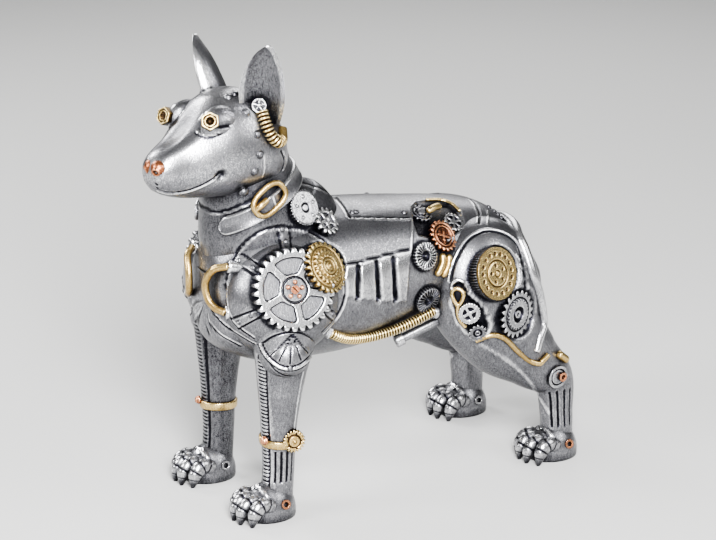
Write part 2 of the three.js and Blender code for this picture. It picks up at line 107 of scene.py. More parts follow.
# Limbs, the neck among them: x, y, z, half width, half depth.
NECK = [
    [0, -13.5, 46.0, 12.0, 15.0],
    [0, -14.2, 55.0, 11.6, 16.4],
    [0, -17.4, 62.0, 10.2, 13.2],
    [0, -19.1, 68.0, 9.3, 10.5],
    [0, -19.8, 74.0, 8.4, 9.0],
]
FORELEG = [
    [12.8, -17.8, 46.0, 5.0, 7.0],
    [13.0, -18.6, 38.0, 5.6, 6.6],
    [12.8, -19.3, 30.0, 4.5, 5.2],
    [12.6, -19.8, 20.0, 3.6, 3.9],
    [12.6, -20.0, 10.0, 3.2, 3.4],
    [12.6, -20.6, 3.0, 3.2, 3.6],
]
HINDLEG = [
    [10.8, 29.5, 50.0, 5.5, 8.0],
    [11.8, 30.5, 45.0, 7.4, 12.0],
    [12.8, 32.0, 38.0, 7.6, 13.2],
    [14.0, 35.5, 30.0, 6.2, 10.2],
    [15.2, 42.0, 23.0, 4.6, 6.8],
    [15.8, 47.3, 17.5, 3.4, 4.8],
    [16.0, 48.2, 10.0, 3.0, 3.9],
    [16.2, 48.2, 3.5, 3.2, 3.8],
]
# Head: ahead, centre height, half width, above, below, in the head's own frame.
HEAD = [
    [27.7, 75.4, 1.2, 1.2, 1.4],
    [27.0, 75.4, 2.9, 2.6, 3.2],
    [24.8, 75.5, 4.1, 4.8, 5.0],
    [21.0, 76.0, 5.4, 7.0, 6.8],
    [16.5, 77.0, 7.4, 9.2, 8.6],
    [11.0, 78.0, 9.2, 11.0, 10.2],
    [5.0, 78.0, 9.8, 11.2, 10.6],
    [0.6, 77.0, 8.8, 9.6, 10.2],
    [-2.9, 75.4, 6.2, 6.6, 8.0],
    [-4.4, 74.0, 2.5, 3.0, 3.0],
]
# Ear: height up the ear, half width, cup depth, wall, lean of the tip.
EAR = [
    [0.0, 3.6, 1.2, 3.4, 0],
    [4.0, 4.5, 1.8, 2.9, 0],
    [8.0, 4.5, 1.7, 2.3, 0],
    [12.0, 3.7, 1.2, 1.7, 0.2],
    [15.2, 2.1, 0.6, 0.8, 0.7],
    [16.8, 0.6, 0.1, 0.5, 1.1],
]
EAR_TURN = math.radians(50)
BROW = {"centre": (13.2, 5.4, 83.7), "radii": (4.8, 2.7, 3.6)}
SHOULDER = {"centre": (8.8, -16.6, 46.0), "axis": (1, -0.16, 0.05), "across": 12.6, "height": 10.2}
HAUNCH = {"centre": (10.5, 31.0, 42.0), "axis": (1, 0, 0.08), "across": 13.2, "height": 9.2}
ELBOW = {"centre": (14.6, -19.6, 36.2), "axis": (1, -0.5, 0.6), "across": 5.4, "height": 4.6}
# How much of its ball each dome keeps.
DOME_SHARE = 0.6
ELBOW_SHARE = 0.75
HIND_STEP = 1.8
HIND_FROM = 25.0

HEAD_PIVOT = vec(0, -17, 78)
HEAD_TURN = np.array(
    Matrix.Rotation(math.radians(8), 3, "Z") @ Matrix.Rotation(math.radians(-5), 3, "Y")
)


def head_way(ahead, out, height):
    return unit(HEAD_TURN @ vec(out, -ahead, height))


def head_point(ahead, out, height):
    return HEAD_PIVOT + HEAD_TURN @ vec(out, -ahead, height - HEAD_PIVOT[2])


def step_of(side, y):
    """How far ahead the right hind leg stands."""
    return HIND_STEP if side == RIGHT and y > HIND_FROM else 0.0


def table_rows(table, shares):
    """Smooth rows of a table, blended as the solid blends them."""
    rows = np.asarray(table, float)
    x = np.asarray(shares, float) * (len(rows) - 1)
    i = np.minimum(x.astype(int), len(rows) - 2)
    f = (x - i)[:, None]
    a, b, c, d = (rows[np.clip(i + k, 0, len(rows) - 1)] for k in (-1, 0, 1, 2))
    start = (2 * f**3 - 3 * f**2 + 1) * b + (f**3 - 2 * f**2 + f) * (c - a) / 2
    end = (3 * f**2 - 2 * f**3) * c + (f**3 - f**2) * (d - b) / 2
    return start + end


def even_rows(table, count, columns):
    """Rows at even distances along the columns that are a place."""
    fine = np.linspace(0, 1, 1500)
    places = table_rows(table, fine)[:, columns]
    gone = np.r_[0, np.cumsum(np.linalg.norm(np.diff(places, axis=0), axis=1))]
    return table_rows(table, np.interp(np.linspace(0, gone[-1], count), gone, fine))


def ring(centre, side, up, w, above, below, turns, power=2.0):
    cos = np.sign(np.cos(turns)) * np.abs(np.cos(turns)) ** (2 / power)
    sin = np.sign(np.sin(turns)) * np.abs(np.sin(turns)) ** (2 / power)
    tall = np.where(sin > 0, above, below) * sin
    return centre + np.outer(cos * w, side) + np.outer(tall, up)


def even_turns(sides):
    return TAU * np.arange(sides) / sides


def near_side_turns(near, far):
    """Closer steps on the left half of a ring than on the right half."""
    left = np.linspace(-0.3 * TAU, 0.3 * TAU, near, endpoint=False)
    right = np.linspace(0.3 * TAU, 0.7 * TAU, far, endpoint=False)
    return np.r_[left, right]


# A mesh is a pair: an array of points, and faces as tuples of point numbers.
def skin(rings, closed=False, ends=True):
    """Quads over rings of points, with a fan at each end unless the rings close on themselves."""
    count = len(rings)
    sides = len(rings[0])
    points = np.concatenate(rings)
    low = np.arange(sides)
    high = np.roll(low, -1)
    faces = []
    for r in range(count if closed else count - 1):
        a = r * sides
        b = ((r + 1) % count) * sides
        quads = np.stack([a + low, a + high, b + high, b + low], axis=1)
        faces += [tuple(quad) for quad in quads.tolist()]
    if closed or not ends:
        return points, faces
    first = len(points)
    last = (count - 1) * sides
    faces += [(j, i, first) for i, j in zip(low.tolist(), high.tolist())]
    faces += [(last + i, last + j, first + 1) for i, j in zip(low.tolist(), high.tolist())]
    return np.concatenate([points, [rings[0].mean(0)], [rings[-1].mean(0)]]), faces


def merged(meshes):
    points = []
    faces = []
    base = 0
    for part_points, part_faces in meshes:
        points.append(part_points)
        faces += [tuple(base + k for k in face) for face in part_faces]
        base += len(part_points)
    return np.concatenate(points), faces


def torso(near=165, far=45, rows=260):
    turns = near_side_turns(near, far)
    rings = [
        ring(vec(0, y, z), SIDEWAYS, UP, w, above, below, turns, 2.3)
        for y, z, w, above, below in even_rows(TORSO, rows, [0])
    ]
    return skin(rings)


def limb(table, sides, rows, swell=None):
    """A limb whose rings face along it; swell gives what each ring grows by."""
    centres = even_rows(table, rows, [0, 1, 2])
    ways = np.gradient(centres[:, :3], axis=0)
    rings = []
    for i, (x, y, z, w, d) in enumerate(centres):
        path = unit(ways[i])
        depth = unit(np.cross(path, SIDEWAYS))
        side = unit(np.cross(depth, path))
        more = swell(i / (rows - 1)) if swell else 0.0
        rings.append(ring(vec(x, y, z), side, depth, w + more, d + more, d + more, even_turns(sides)))
    return skin(rings)


def on_side(table, side):
    return [[x * side, y - step_of(side, y), *rest] for x, y, *rest in table]


def head(sides=180, rows=125):
    rings = [
        ring(head_point(ahead, 0, z), head_way(0, 1, 0), head_way(0, 0, 1), w, above, below,
             even_turns(sides), 2.2)
        for ahead, z, w, above, below in even_rows(HEAD, rows, [0])
    ]
    return skin(rings)


def turned_to(axis):
    """A turn that brings +Z to the axis."""
    return np.array(Vector((0, 0, 1)).rotation_difference(Vector(axis)).to_matrix())


def ellipsoid(centre, axis, across, height, sides=48, rows=24, share=1.0):
    """A sphere stretched along its axis; a share under 1 leaves out its far end."""
    turns = even_turns(sides)
    rings = []
    for tilt in np.linspace(0.004, share - 0.004, rows) * math.pi:
        flat = np.stack([
            across * math.sin(tilt) * np.cos(turns),
            across * math.sin(tilt) * np.sin(turns),
            np.full(sides, height * math.cos(tilt)),
        ], axis=1)
        rings.append(np.asarray(centre) + flat @ turned_to(axis).T)
    return skin(rings)


def dome(side, form, sides, rows, share=DOME_SHARE):
    x, y, z = form["centre"]
    ax, ay, az = form["axis"]
    centre = vec(x * side, y - step_of(side, y), z)
    return ellipsoid(centre, unit((ax * side, ay, az)), form["across"], form["height"], sides, rows, share)


def brow(side):
    ahead, out, height = BROW["radii"]
    ball, faces = ellipsoid((0, 0, 0), UP, 1, 1, 40, 24)
    centre = head_point(BROW["centre"][0], BROW["centre"][1] * side, BROW["centre"][2])
    return centre + (ball * (out, ahead, height)) @ HEAD_TURN.T, faces


def ear_frame(side):
    root = head_point(4.9, 8.4 * side, 82.4)
    axis = head_way(0.06, 0.2 * side, 1)
    face = head_way(math.cos(EAR_TURN), side * math.sin(EAR_TURN), 0)
    return root, axis, face, unit(np.cross(axis, face))


def ear(side, steps=36, rows=70):
    root, axis, face, across = ear_frame(side)
    rings = []
    for height, w, cup, wall, lean in even_rows(EAR, rows, [0]):
        points = []
        for front in (True, False):
            for k in range(steps):
                x = (1 if front else -1) * math.cos(math.pi * k / steps)
                sag = -cup * (1 - x * x) - (0 if front else wall * math.sqrt(max(0, 1 - x**4)))
                points.append(root + axis * height + across * (x * w + lean * side) + face * sag)
        rings.append(np.array(points))
    return skin(rings)


def hull_forms():
    """Coarser forms of the bare body, for finding where things sit on it."""
    forms = [torso(110, 50, 150), limb(NECK, 100, 60), head(110, 90)]
    for side in BOTH:
        forms += [
            brow(side),
            ear(side, 10, 16),
            limb(on_side(FORELEG, side), 60, 80),
            limb(on_side(HINDLEG, side), 80, 100),
            dome(side, SHOULDER, 120, 70),
            dome(side, HAUNCH, 120, 70),
            dome(side, ELBOW, 70, 40, ELBOW_SHARE),
        ]
    return merged(forms)


body_points, body_faces = hull_forms()
body_tree = BVHTree.FromPolygons(body_points.tolist(), body_faces)


def side_hit(side, y, z):
    far_out = 45.0
    place = body_tree.ray_cast(Vector((far_out * side, y, z)), Vector((-side, 0, 0)))[0]
    return np.array(place)


def side_frame(side, y, z, radius):
    """A frame on the body's side at (y, z): X across, Y up, Z out along the surface."""
    r = 0.7 * radius
    rear = side_hit(side, y + r, z)
    front = side_hit(side, y - r, z)
    top = side_hit(side, y, z + r)
    low = side_hit(side, y, z - r)
    out = unit(np.cross(rear - front, top - low) * side)
    return frame_at((rear + front + top + low) / 4, out)


def frame_at(place, out):
    across = unit(np.cross(UP, out)) if abs(out[2]) < 0.98 else SIDEWAYS
    return place, np.stack([across, np.cross(out, across), out], axis=1)


def placed(mesh, at):
    place, turn = at
    points, faces = mesh
    return place + points @ turn.T, faces


# The camera stands where the photograph was taken. A place that was read off the
# photograph is a pair of pixels, and seen() gives the point of the body under it.
TARGET = vec(11.98, 0, 49.6)
DISTANCE = 619.8
AZIMUTH = math.radians(58)
ELEVATION = math.radians(18.5)
FOCAL_PIXELS = 3000.0
PICTURE_WIDTH = 716
MIDDLE_PIXEL = (358.5, 270.0)
TO_CAMERA = vec(
    math.cos(ELEVATION) * math.sin(AZIMUTH),
    -math.cos(ELEVATION) * math.cos(AZIMUTH),
    math.sin(ELEVATION),
)
EYE_POINT = TARGET + DISTANCE * TO_CAMERA
PICTURE_RIGHT = vec(math.cos(AZIMUTH), math.sin(AZIMUTH), 0)
PICTURE_UP = np.cross(TO_CAMERA, PICTURE_RIGHT)


def sight(pixel):
    right = (pixel[0] - MIDDLE_PIXEL[0]) / FOCAL_PIXELS
    up = (MIDDLE_PIXEL[1] - pixel[1]) / FOCAL_PIXELS
    return unit(-TO_CAMERA + right * PICTURE_RIGHT + up * PICTURE_UP)


def seen(pixel):
    """The body's point and outward way under a pixel, or the nearest ones just past its outline."""
    way = sight(pixel)
    place, normal, _, _ = body_tree.ray_cast(Vector(EYE_POINT), Vector(way))
    if place is None:
        place, normal, _, _ = body_tree.find_nearest(Vector(EYE_POINT + way * DISTANCE))
    normal = np.array(normal)
    return np.array(place), normal * np.sign(normal @ -way)


def pixels_of(points):
    rel = points - EYE_POINT
    away = -(rel @ TO_CAMERA)
    return np.stack([
        MIDDLE_PIXEL[0] + FOCAL_PIXELS * (rel @ PICTURE_RIGHT) / away,
        MIDDLE_PIXEL[1] - FOCAL_PIXELS * (rel @ PICTURE_UP) / away,
    ], axis=1)


def seen_frame(pixel, spread=3.0):
    """A frame on the body under a pixel, levelled over a few pixels about it."""
    px, py = pixel
    steps = ((0, 0), (spread, 0), (-spread, 0), (0, spread), (0, -spread))
    near = [seen((px + dx, py + dy)) for dx, dy in steps]
    return frame_at(near[0][0], unit(sum(out for _, out in near)))


def curve(points, count, closed=False):
    """A smooth curve through points, at even distances."""
    p = np.asarray(points, float)
    n = len(p)
    pieces = []
    spans = n if closed else n - 1
    t = np.linspace(0, 1, 24, endpoint=False)[:, None]
    for i in range(spans):
        if closed:
            a, b, c, d = p[(i - 1) % n], p[i], p[(i + 1) % n], p[(i + 2) % n]
        else:
            b, c = p[i], p[i + 1]
            a = p[i - 1] if i else 2 * b - c
            d = p[i + 2] if i + 2 < n else 2 * c - b
        pieces.append(
            0.5 * (2 * b + (c - a) * t + (2 * a - 5 * b + 4 * c - d) * t**2 + (3 * b - a - 3 * c + d) * t**3)
        )
    pieces.append(p[:1] if closed else p[-1:])
    line = np.concatenate(pieces)
    gone = np.r_[0, np.cumsum(np.linalg.norm(np.diff(line, axis=0), axis=1))]
    where = np.linspace(0, gone[-1], count, endpoint=not closed)
    return np.stack([np.interp(where, gone, line[:, k]) for k in range(p.shape[1])], axis=1)


def length_of(points, closed=False):
    line = curve(points, 200, closed)
    return np.linalg.norm(np.diff(line, axis=0), axis=1).sum()


def tube(points, radius, sides=14, count=60, closed=False):
    """A bar along a curve; the radius is a number or a function of the share gone."""
    line = curve(points, count, closed)
    if closed:
        ways = np.roll(line, -1, axis=0) - np.roll(line, 1, axis=0)
    else:
        ways = np.gradient(line, axis=0)
    ways /= np.linalg.norm(ways, axis=1)[:, None]
    across = unit(np.cross(ways[0], UP if abs(ways[0][2]) < 0.9 else SIDEWAYS))
    rings = []
    for i in range(count):
        across = unit(across - ways[i] * (across @ ways[i]))
        r = radius(i / (count - 1)) if callable(radius) else radius
        rings.append(ring(line[i], across, np.cross(ways[i], across), r, r, r, even_turns(sides)))
    return skin(rings, closed)


def signed_volume(data):
    data.calc_loop_triangles()
    corners = np.zeros(len(data.loop_triangles) * 3, int)
    data.loop_triangles.foreach_get("vertices", corners)
    points = places_of(data)[corners].reshape(-1, 3, 3)
    return np.einsum("ij,ij->", points[:, 0], np.cross(points[:, 1], points[:, 2]))


def places_of(data):
    flat = np.zeros(len(data.vertices) * 3)
    data.vertices.foreach_get("co", flat)
    return flat.reshape(-1, 3)


def normals_of(data):
    flat = np.zeros(len(data.vertices) * 3)
    data.vertex_normals.foreach_get("vector", flat)
    return flat.reshape(-1, 3)


def set_tone(data, tones):
    """Each point's tone: -1 is a dark recess, wash and painted shade; 1 is a bright edge, wear and painted
    highlight.
    """
    data.attributes.new("tone", "FLOAT", "POINT").data.foreach_set("value", tones)


def make(name, mesh, material, marks=(), tone=0.0, body=False, turned=True):
    """A piece of the figurine from a mesh in figure units, carved by its marks."""
    points, faces = mesh
    data = bpy.data.meshes.new(name)
    data.from_pydata(points.tolist(), [], faces)
    data.update()
    if turned and signed_volume(data) < 0:
        data.flip_normals()
    tones = np.full(len(points), float(tone))
    if marks:
        places = places_of(data)
        normals = normals_of(data)
        rise = np.zeros(len(places))
        for mark in marks:
            near, height, shade = mark(places, normals)
            rise[near] += height
            tones[near] += shade
        points = places + normals * rise[:, None]
    data.vertices.foreach_set("co", ((points - (0, MIDDLE, 0)) * U).ravel())
    set_tone(data, np.clip(tones, -1, 1))
    data.polygons.foreach_set("use_smooth", [True] * len(data.polygons))
    data.update()
    data.materials.append(material)
    piece = bpy.data.objects.new(name, data)
    bpy.context.scene.collection.objects.link(piece)
    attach(piece, "root")
    if body:
        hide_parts("dog")


# Marks carve a mesh: each takes points and normals and gives who moves, how far and in what tone.
def distance_along(points, path):
    """Distance to a path, and how far along it the nearest place is."""
    best = np.full(len(points), np.inf)
    gone = np.zeros(len(points))
    walked = 0.0
    for a, b in zip(path[:-1], path[1:]):
        span = np.linalg.norm(b - a)
        t = np.clip(((points - a) @ (b - a)) / max(span**2, 1e-9), 0, 1)
        away = np.linalg.norm(points - a - t[:, None] * (b - a), axis=1)
        nearer = away < best
        best[nearer] = away[nearer]
        gone[nearer] = walked + t[nearer] * span
        walked += span
    return best, gone


def near_path(points, path, reach):
    return np.all((points > path.min(0) - reach) & (points < path.max(0) + reach), axis=1)


def groove(path, half_width, depth, tone=1.0):
    """A cut along a path, darkened by its tone as wash and painted shade; a depth under 0 makes a raised
    bead, which the tone paints bright as a highlight.
    """
    def mark(points, normals):
        near = near_path(points, path, half_width)
        away, _ = distance_along(points[near], path)
        share = 1 - smooth(0.4 * half_width, half_width, away)
        return near, -depth * share, -math.copysign(tone, depth) * share
    return mark


def strokes(path, half_width, spacing, depth):
    """A row of short cuts across a path, like the marks of a rule, the cuts darkened as wash and painted
    shade and the strip between lightened as a painted highlight.
    """
    def mark(points, normals):
        near = near_path(points, path, half_width)
        away, gone = distance_along(points[near], path)
        beat = np.abs((gone / spacing) % 1 - 0.5) * 2
        share = smooth(0.5, 0.7, beat) * (1 - smooth(0.85 * half_width, half_width, away))
        return near, -depth * share, 0.35 - 1.3 * share * (away < half_width)
    return mark


def inside_by(points, outline):
    """Distance of flat points from an outline, above 0 inside it."""
    away = np.full(len(points), np.inf)
    inside = np.zeros(len(points), bool)
    for a, b in zip(outline, np.roll(outline, -1, axis=0)):
        t = np.clip(((points - a) @ (b - a)) / max((b - a) @ (b - a), 1e-9), 0, 1)
        away = np.minimum(away, np.linalg.norm(points - a - t[:, None] * (b - a), axis=1))
        crosses = (a[1] > points[:, 1]) != (b[1] > points[:, 1])
        slope = (b[0] - a[0]) / (b[1] - a[1] if b[1] != a[1] else 1e-9)
        inside ^= crosses & (points[:, 0] < a[0] + (points[:, 1] - a[1]) * slope)
    return np.where(inside, away, -away)


def other_side(points, on_head=False):
    """The same places on the other side of the figure, or of its head."""
    if on_head:
        own = (points - HEAD_PIVOT) @ HEAD_TURN
        return (own * (-1, 1, 1)) @ HEAD_TURN.T + HEAD_PIVOT
    step = np.where(points[:, 1] > HIND_FROM, HIND_STEP, 0)
    step = step if points[:, 0].mean() > 0 else -step
    return points * (-1, 1, 1) - np.stack([0 * step, step, 0 * step], axis=1)


def field(outline, height, edge, side=LEFT, tone=0.0, on_head=False):
    """A raised or sunk field inside an outline of pixels, painted lighter or darker by its tone as painted
    highlight or painted shade; its edge is in pixels too.
    """
    outline = np.array(outline, float)

    def mark(points, normals):
        if side == LEFT:
            own, ways = points, normals
        else:
            own = other_side(points, on_head)
            ways = other_side(points + normals, on_head) - own
        seen_ones = np.flatnonzero((ways @ TO_CAMERA > 0.05) & (on_head | (own[:, 0] > 0.5)))
        flat = pixels_of(own[seen_ones])
        box = np.all((flat > outline.min(0)) & (flat < outline.max(0)), axis=1)
        seen_ones = seen_ones[box]
        share = smooth(0, edge, inside_by(flat[box], outline))
        return seen_ones, height * share, tone * share
    return mark


def dent(centre, way, along, across, depth, tone=0.0):
    """A soft hollow, longer along a way than across it, darkened by its tone as painted shade."""
    def mark(points, normals):
        near = near_path(points, np.array([centre]), max(along, across))
        rel = points[near] - centre
        far = rel @ way
        rest = np.linalg.norm(rel - np.outer(far, way), axis=1)
        share = 1 - smooth(0, 1, np.hypot(far / along, rest / across))
        return near, -depth * share, tone * share
    return mark


def path_of(pixels, spacing=4.0):
    """The body's points under a line of pixels."""
    pixels = np.array(pixels, float)
    places = []
    for a, b in zip(pixels[:-1], pixels[1:]):
        steps = max(1, round(np.linalg.norm(b - a) / spacing))
        places += [seen(a + (b - a) * k / steps)[0] for k in range(steps)]
    places.append(seen(pixels[-1])[0])
    return np.array(places)


PIXEL = 1 / 4.84


def lines(drawn, on_head=False):
    """Grooves on both sides from (pixels of a smooth line, half width in pixels, depth, tone)."""
    marks = []
    for pixels, half_width, depth, *tone in drawn:
        smooth_line = curve(pixels, max(3, int(length_of(pixels) / 4)))
        path = path_of(smooth_line)
        near_half = path if on_head else path[path[:, 0] > 0.5]
        for one in (path, other_side(near_half, on_head)):
            marks.append(groove(one, half_width * PIXEL, depth, *tone))
    return marks


# Paint: each metal is a dark wash under a brushed coat, worn bright on what stands out, with painted shade
# and highlight added.
def paint(name, dark, middle, light, rough=0.34, wear=0.0):
    material = bpy.data.materials.new(name)
    material.use_nodes = True
    nodes = material.node_tree.nodes
    link = material.node_tree.links.new
    shader = nodes["Principled BSDF"]
    shader.inputs["Metallic"].default_value = 0.96

    def node(kind, **values):
        made = nodes.new(kind)
        for key, value in values.items():
            setattr(made, key, value)
        return made

    def noise(scale, detail, squeeze=(1, 1, 1)):
        where = node("ShaderNodeTexCoord")
        mapping = node("ShaderNodeMapping")
        mapping.inputs["Scale"].default_value = squeeze
        texture = node("ShaderNodeTexNoise")
        texture.inputs["Scale"].default_value = scale
        texture.inputs["Detail"].default_value = detail
        link(where.outputs["Object"], mapping.inputs["Vector"])
        link(mapping.outputs["Vector"], texture.inputs["Vector"])
        return texture.outputs["Fac"]

    def scaled(value, low, high, to_low, to_high):
        ranged = node("ShaderNodeMapRange")
        for key, number in (("From Min", low), ("From Max", high), ("To Min", to_low), ("To Max", to_high)):
            ranged.inputs[key].default_value = number
        link(value, ranged.inputs["Value"])
        return ranged.outputs["Result"]

    def total(*values):
        result = values[0]
        for value in values[1:]:
            adding = node("ShaderNodeMath", operation="ADD")
            link(result, adding.inputs[0])
            link(value, adding.inputs[1])
            result = adding.outputs["Value"]
        return result

    # Painted shade: ambient occlusion darkens recesses, together with the wash that lies in them.
    recess = node("ShaderNodeAmbientOcclusion", samples=6)
    recess.inputs["Distance"].default_value = 0.007
    tone = node("ShaderNodeAttribute", attribute_name="tone")
    edges = node("ShaderNodeNewGeometry")
    # Painted shade: what faces down is darker.
    underside_shade = node("ShaderNodeSeparateXYZ")
    link(edges.outputs["Normal"], underside_shade.inputs["Vector"])
    level = total(
        scaled(tone.outputs["Fac"], -1, 1, -0.52, 0.42),
        scaled(recess.outputs["AO"], 0.4, 0.97, -0.5, 0.0),
        scaled(edges.outputs["Pointiness"], 0.46, 0.56, -0.3, 0.3),
        scaled(underside_shade.outputs["Z"], -0.9, 0.1, -0.25, 0.0),
        scaled(noise(2100, 2), 0.3, 0.7, -0.19, 0.19),
        scaled(noise(1000, 5, (1, 1, 0.4)), 0.3, 0.7, -0.1, 0.1),
        scaled(noise(60, 4), 0.3, 0.7, 0.46 + wear, 0.6 + wear),
    )
    colours = node("ShaderNodeValToRGB")
    ramp = colours.color_ramp
    ramp.elements[0].position = 0.05
    ramp.elements[0].color = (*dark, 1)
    ramp.elements[1].position = 0.95
    ramp.elements[1].color = (*light, 1)
    ramp.elements.new(0.5).color = (*middle, 1)
    ramp.elements.new(0.75).color = (*[0.45 * a + 0.55 * b for a, b in zip(light, middle)], 1)
    link(level, colours.inputs["Fac"])
    link(colours.outputs["Color"], shader.inputs["Base Color"])
    link(scaled(level, 0.1, 0.9, rough + 0.2, rough - 0.04), shader.inputs["Roughness"])
    bump = node("ShaderNodeBump")
    bump.inputs["Distance"].default_value = 0.00025
    bump.inputs["Strength"].default_value = 0.35
    link(noise(1100, 4, (1, 1, 0.5)), bump.inputs["Height"])
    link(bump.outputs["Normal"], shader.inputs["Normal"])
    return material


silver = paint("silver_paint", (0.003, 0.003, 0.005), (0.16, 0.16, 0.172), (0.97, 0.97, 0.98), 0.22)
brass = paint("brass_paint", (0.012, 0.006, 0.002), (0.35, 0.215, 0.055), (0.98, 0.77, 0.34), 0.24)
copper = paint("copper_paint", (0.016, 0.005, 0.002), (0.3, 0.09, 0.035), (0.96, 0.48, 0.25), 0.24)


# The carved lines of the body, by pixels: first the seams of the plates.
SADDLE_FRONT = [
    (295.6, 180.7), (311, 185), (323.9, 189.9), (334, 196), (341, 203), (346, 210), (349.9, 217.4),
]
SADDLE_FOOT = [(350, 219), (380, 219.4), (410, 219.7)]
FLANK_REAR = [(412.4, 219), (411.6, 238), (410.4, 255.7)]
SHOULDER_RIM = [
    (253.5, 338.4), (239, 328), (229.7, 316.9), (226, 305), (225.3, 290), (227.5, 275), (233.6, 258.8),
    (244.3, 243.5), (259.6, 232), (278, 226.6), (290.2, 227.4), (302.5, 228.9), (314.7, 234.3), (328, 243),
]
SHOULDER_REAR = [(341, 262), (345, 285), (343, 303), (335, 318), (322, 332)]
CHEST_SEAMS = [
    [(212, 311), (218, 319), (228, 328), (247.4, 340.4), (259.6, 347)],
    [(193, 311), (199, 322), (208.6, 331.7)],
    [(204, 313), (210, 324), (222, 336), (240, 346)],
]
HAUNCH_RIM = [
    (450.7, 281), (452.8, 269.8), (459.8, 253), (468.2, 240.3), (479.4, 233.3), (490.7, 231.2),
    (504.7, 234.7), (514.5, 241.7), (519.5, 251), (523, 265), (525, 278.2), (525.7, 289.4),
]
RUMP_BAND = [(468.2, 196.8), (474, 202), (478, 209.5), (479.5, 216), (478.7, 223.5)]
RUMP_BAND_REAR = [(487.9, 210.9), (487.6, 218), (487.2, 224.9)]
HIND_FRONT = [(480.8, 344.9), (494, 352), (506.1, 359.6), (520, 371), (532, 385), (541, 400), (549, 413)]
LOUVRE_TOP = [(342.3, 264.9), (356, 262.6), (377.5, 257.3), (394.3, 252.7), (409, 250)]
LOUVRE_SLOTS = [[(358.4, 267), (358, 297)], [(377, 262.8), (379, 299)], [(393.7, 258.6), (395.8, 299.5)]]


def ridge_beside(pixels, aside):
    """The same line moved aside in the picture, for the lip of a seam; a bead there takes a painted
    highlight.
    """
    pixels = np.array(pixels, float)
    ways = np.gradient(pixels, axis=0)
    ways /= np.linalg.norm(ways, axis=1)[:, None]
    return pixels + aside * np.stack([-ways[:, 1], ways[:, 0]], axis=1)


def seam(pixels, aside=1.9, depth=0.26):
    return [(pixels, 1.35, depth), (ridge_beside(pixels, aside), 1.2, -0.12)]


BODY_LINES = [
    *seam(SADDLE_FRONT, 2.2),
    (SADDLE_FOOT, 1.2, -0.22),
    (ridge_beside(SADDLE_FOOT, -1.9), 1.0, 0.18),
    (FLANK_REAR, 1.3, -0.16),
    *seam(SHOULDER_RIM, 2.0, 0.3),
    *seam(SHOULDER_REAR, -2.0, 0.3),
    *[one for pixels in CHEST_SEAMS for one in seam(pixels, -1.6)],
    (HAUNCH_RIM, 1.7, 0.3),
    (ridge_beside(HAUNCH_RIM, -2.4), 1.7, -0.12),
    *seam(RUMP_BAND, 1.8),
    (RUMP_BAND_REAR, 1.1, -0.14),
    (HIND_FRONT, 2.6, -0.12, 0.55),
    (LOUVRE_TOP, 1.0, 0.3),
]
LOIN_HOLLOW = [
    (411.4, 206.7), (416.3, 201), (433.1, 198.9), (448.6, 200.3), (459.8, 208.1), (464, 220.7), (463, 229),
    (454.2, 236), (433.1, 238.9), (418.3, 235.3), (412.5, 222.1),
]
LOUVRE_PANEL = [
    (342, 265), (356, 262.6), (377.5, 257.3), (394.3, 252.7), (411, 249.6), (407, 301.6), (383.6, 301.4),
    (363.7, 299.3), (342, 295.5),
]
DROP_HOLLOW = [
    (452.5, 286), (458, 281), (465, 284), (470, 296), (479, 306), (487, 315), (489, 326), (484, 336),
    (474, 338), (466, 330), (458, 320), (453, 305),
]
STRIPS = [
    [(277.2, 226.9), (288.9, 226.9), (291.2, 251), (281.4, 250)],
    [(240.5, 253), (264, 268), (257.5, 277), (234.5, 262.5)],
    [(230.8, 319), (257, 309.5), (262, 316), (238, 329)],
    [(326, 307), (337, 315), (332.5, 321), (322.5, 313)],
]


def both_fields(outline, height, edge, tone=0.0, on_head=False):
    return [field(outline, height, edge, side, tone, on_head) for side in BOTH]


def grown(outline, by):
    """An outline of pixels that is larger on every side."""
    outline = np.array(outline, float)
    away = outline - outline.mean(0)
    return outline + by * away / np.linalg.norm(away, axis=1)[:, None]


def body_marks():
    marks = lines(BODY_LINES) + wheel_shadows()
    # Painted shade fills the louvre slots.
    for pixels in LOUVRE_SLOTS:
        slot = path_of(pixels)
        marks += [groove(slot, 0.8, 1.4, 1.6), groove(other_side(slot), 0.8, 1.4, 1.6)]
    # Painted highlight on the louvre panel and round the drop hollow, painted shade in the loin and drop
    # hollows.
    marks += both_fields(LOUVRE_PANEL, 0.2, 1.2, 0.45)
    marks += both_fields(LOIN_HOLLOW, -1.1, 3.0, -0.55)
    marks += both_fields(grown(DROP_HOLLOW, 4.5), 0.3, 2.0, 0.6)
    marks += both_fields(grown(DROP_HOLLOW, 1.0), -1.2, 2.5, -1.1)
    # The strips take a painted highlight and painted shade along their edges.
    for strip in STRIPS:
        marks += both_fields(strip, 0.24, 1.2, 0.2)
        for a, b in ((0, 3), (1, 2)) if strip is STRIPS[0] else ((0, 1), (3, 2)):
            edge = path_of([strip[a], strip[b]])
            marks += [groove(edge, 0.26, 0.2), groove(other_side(edge), 0.26, 0.2)]
    return marks


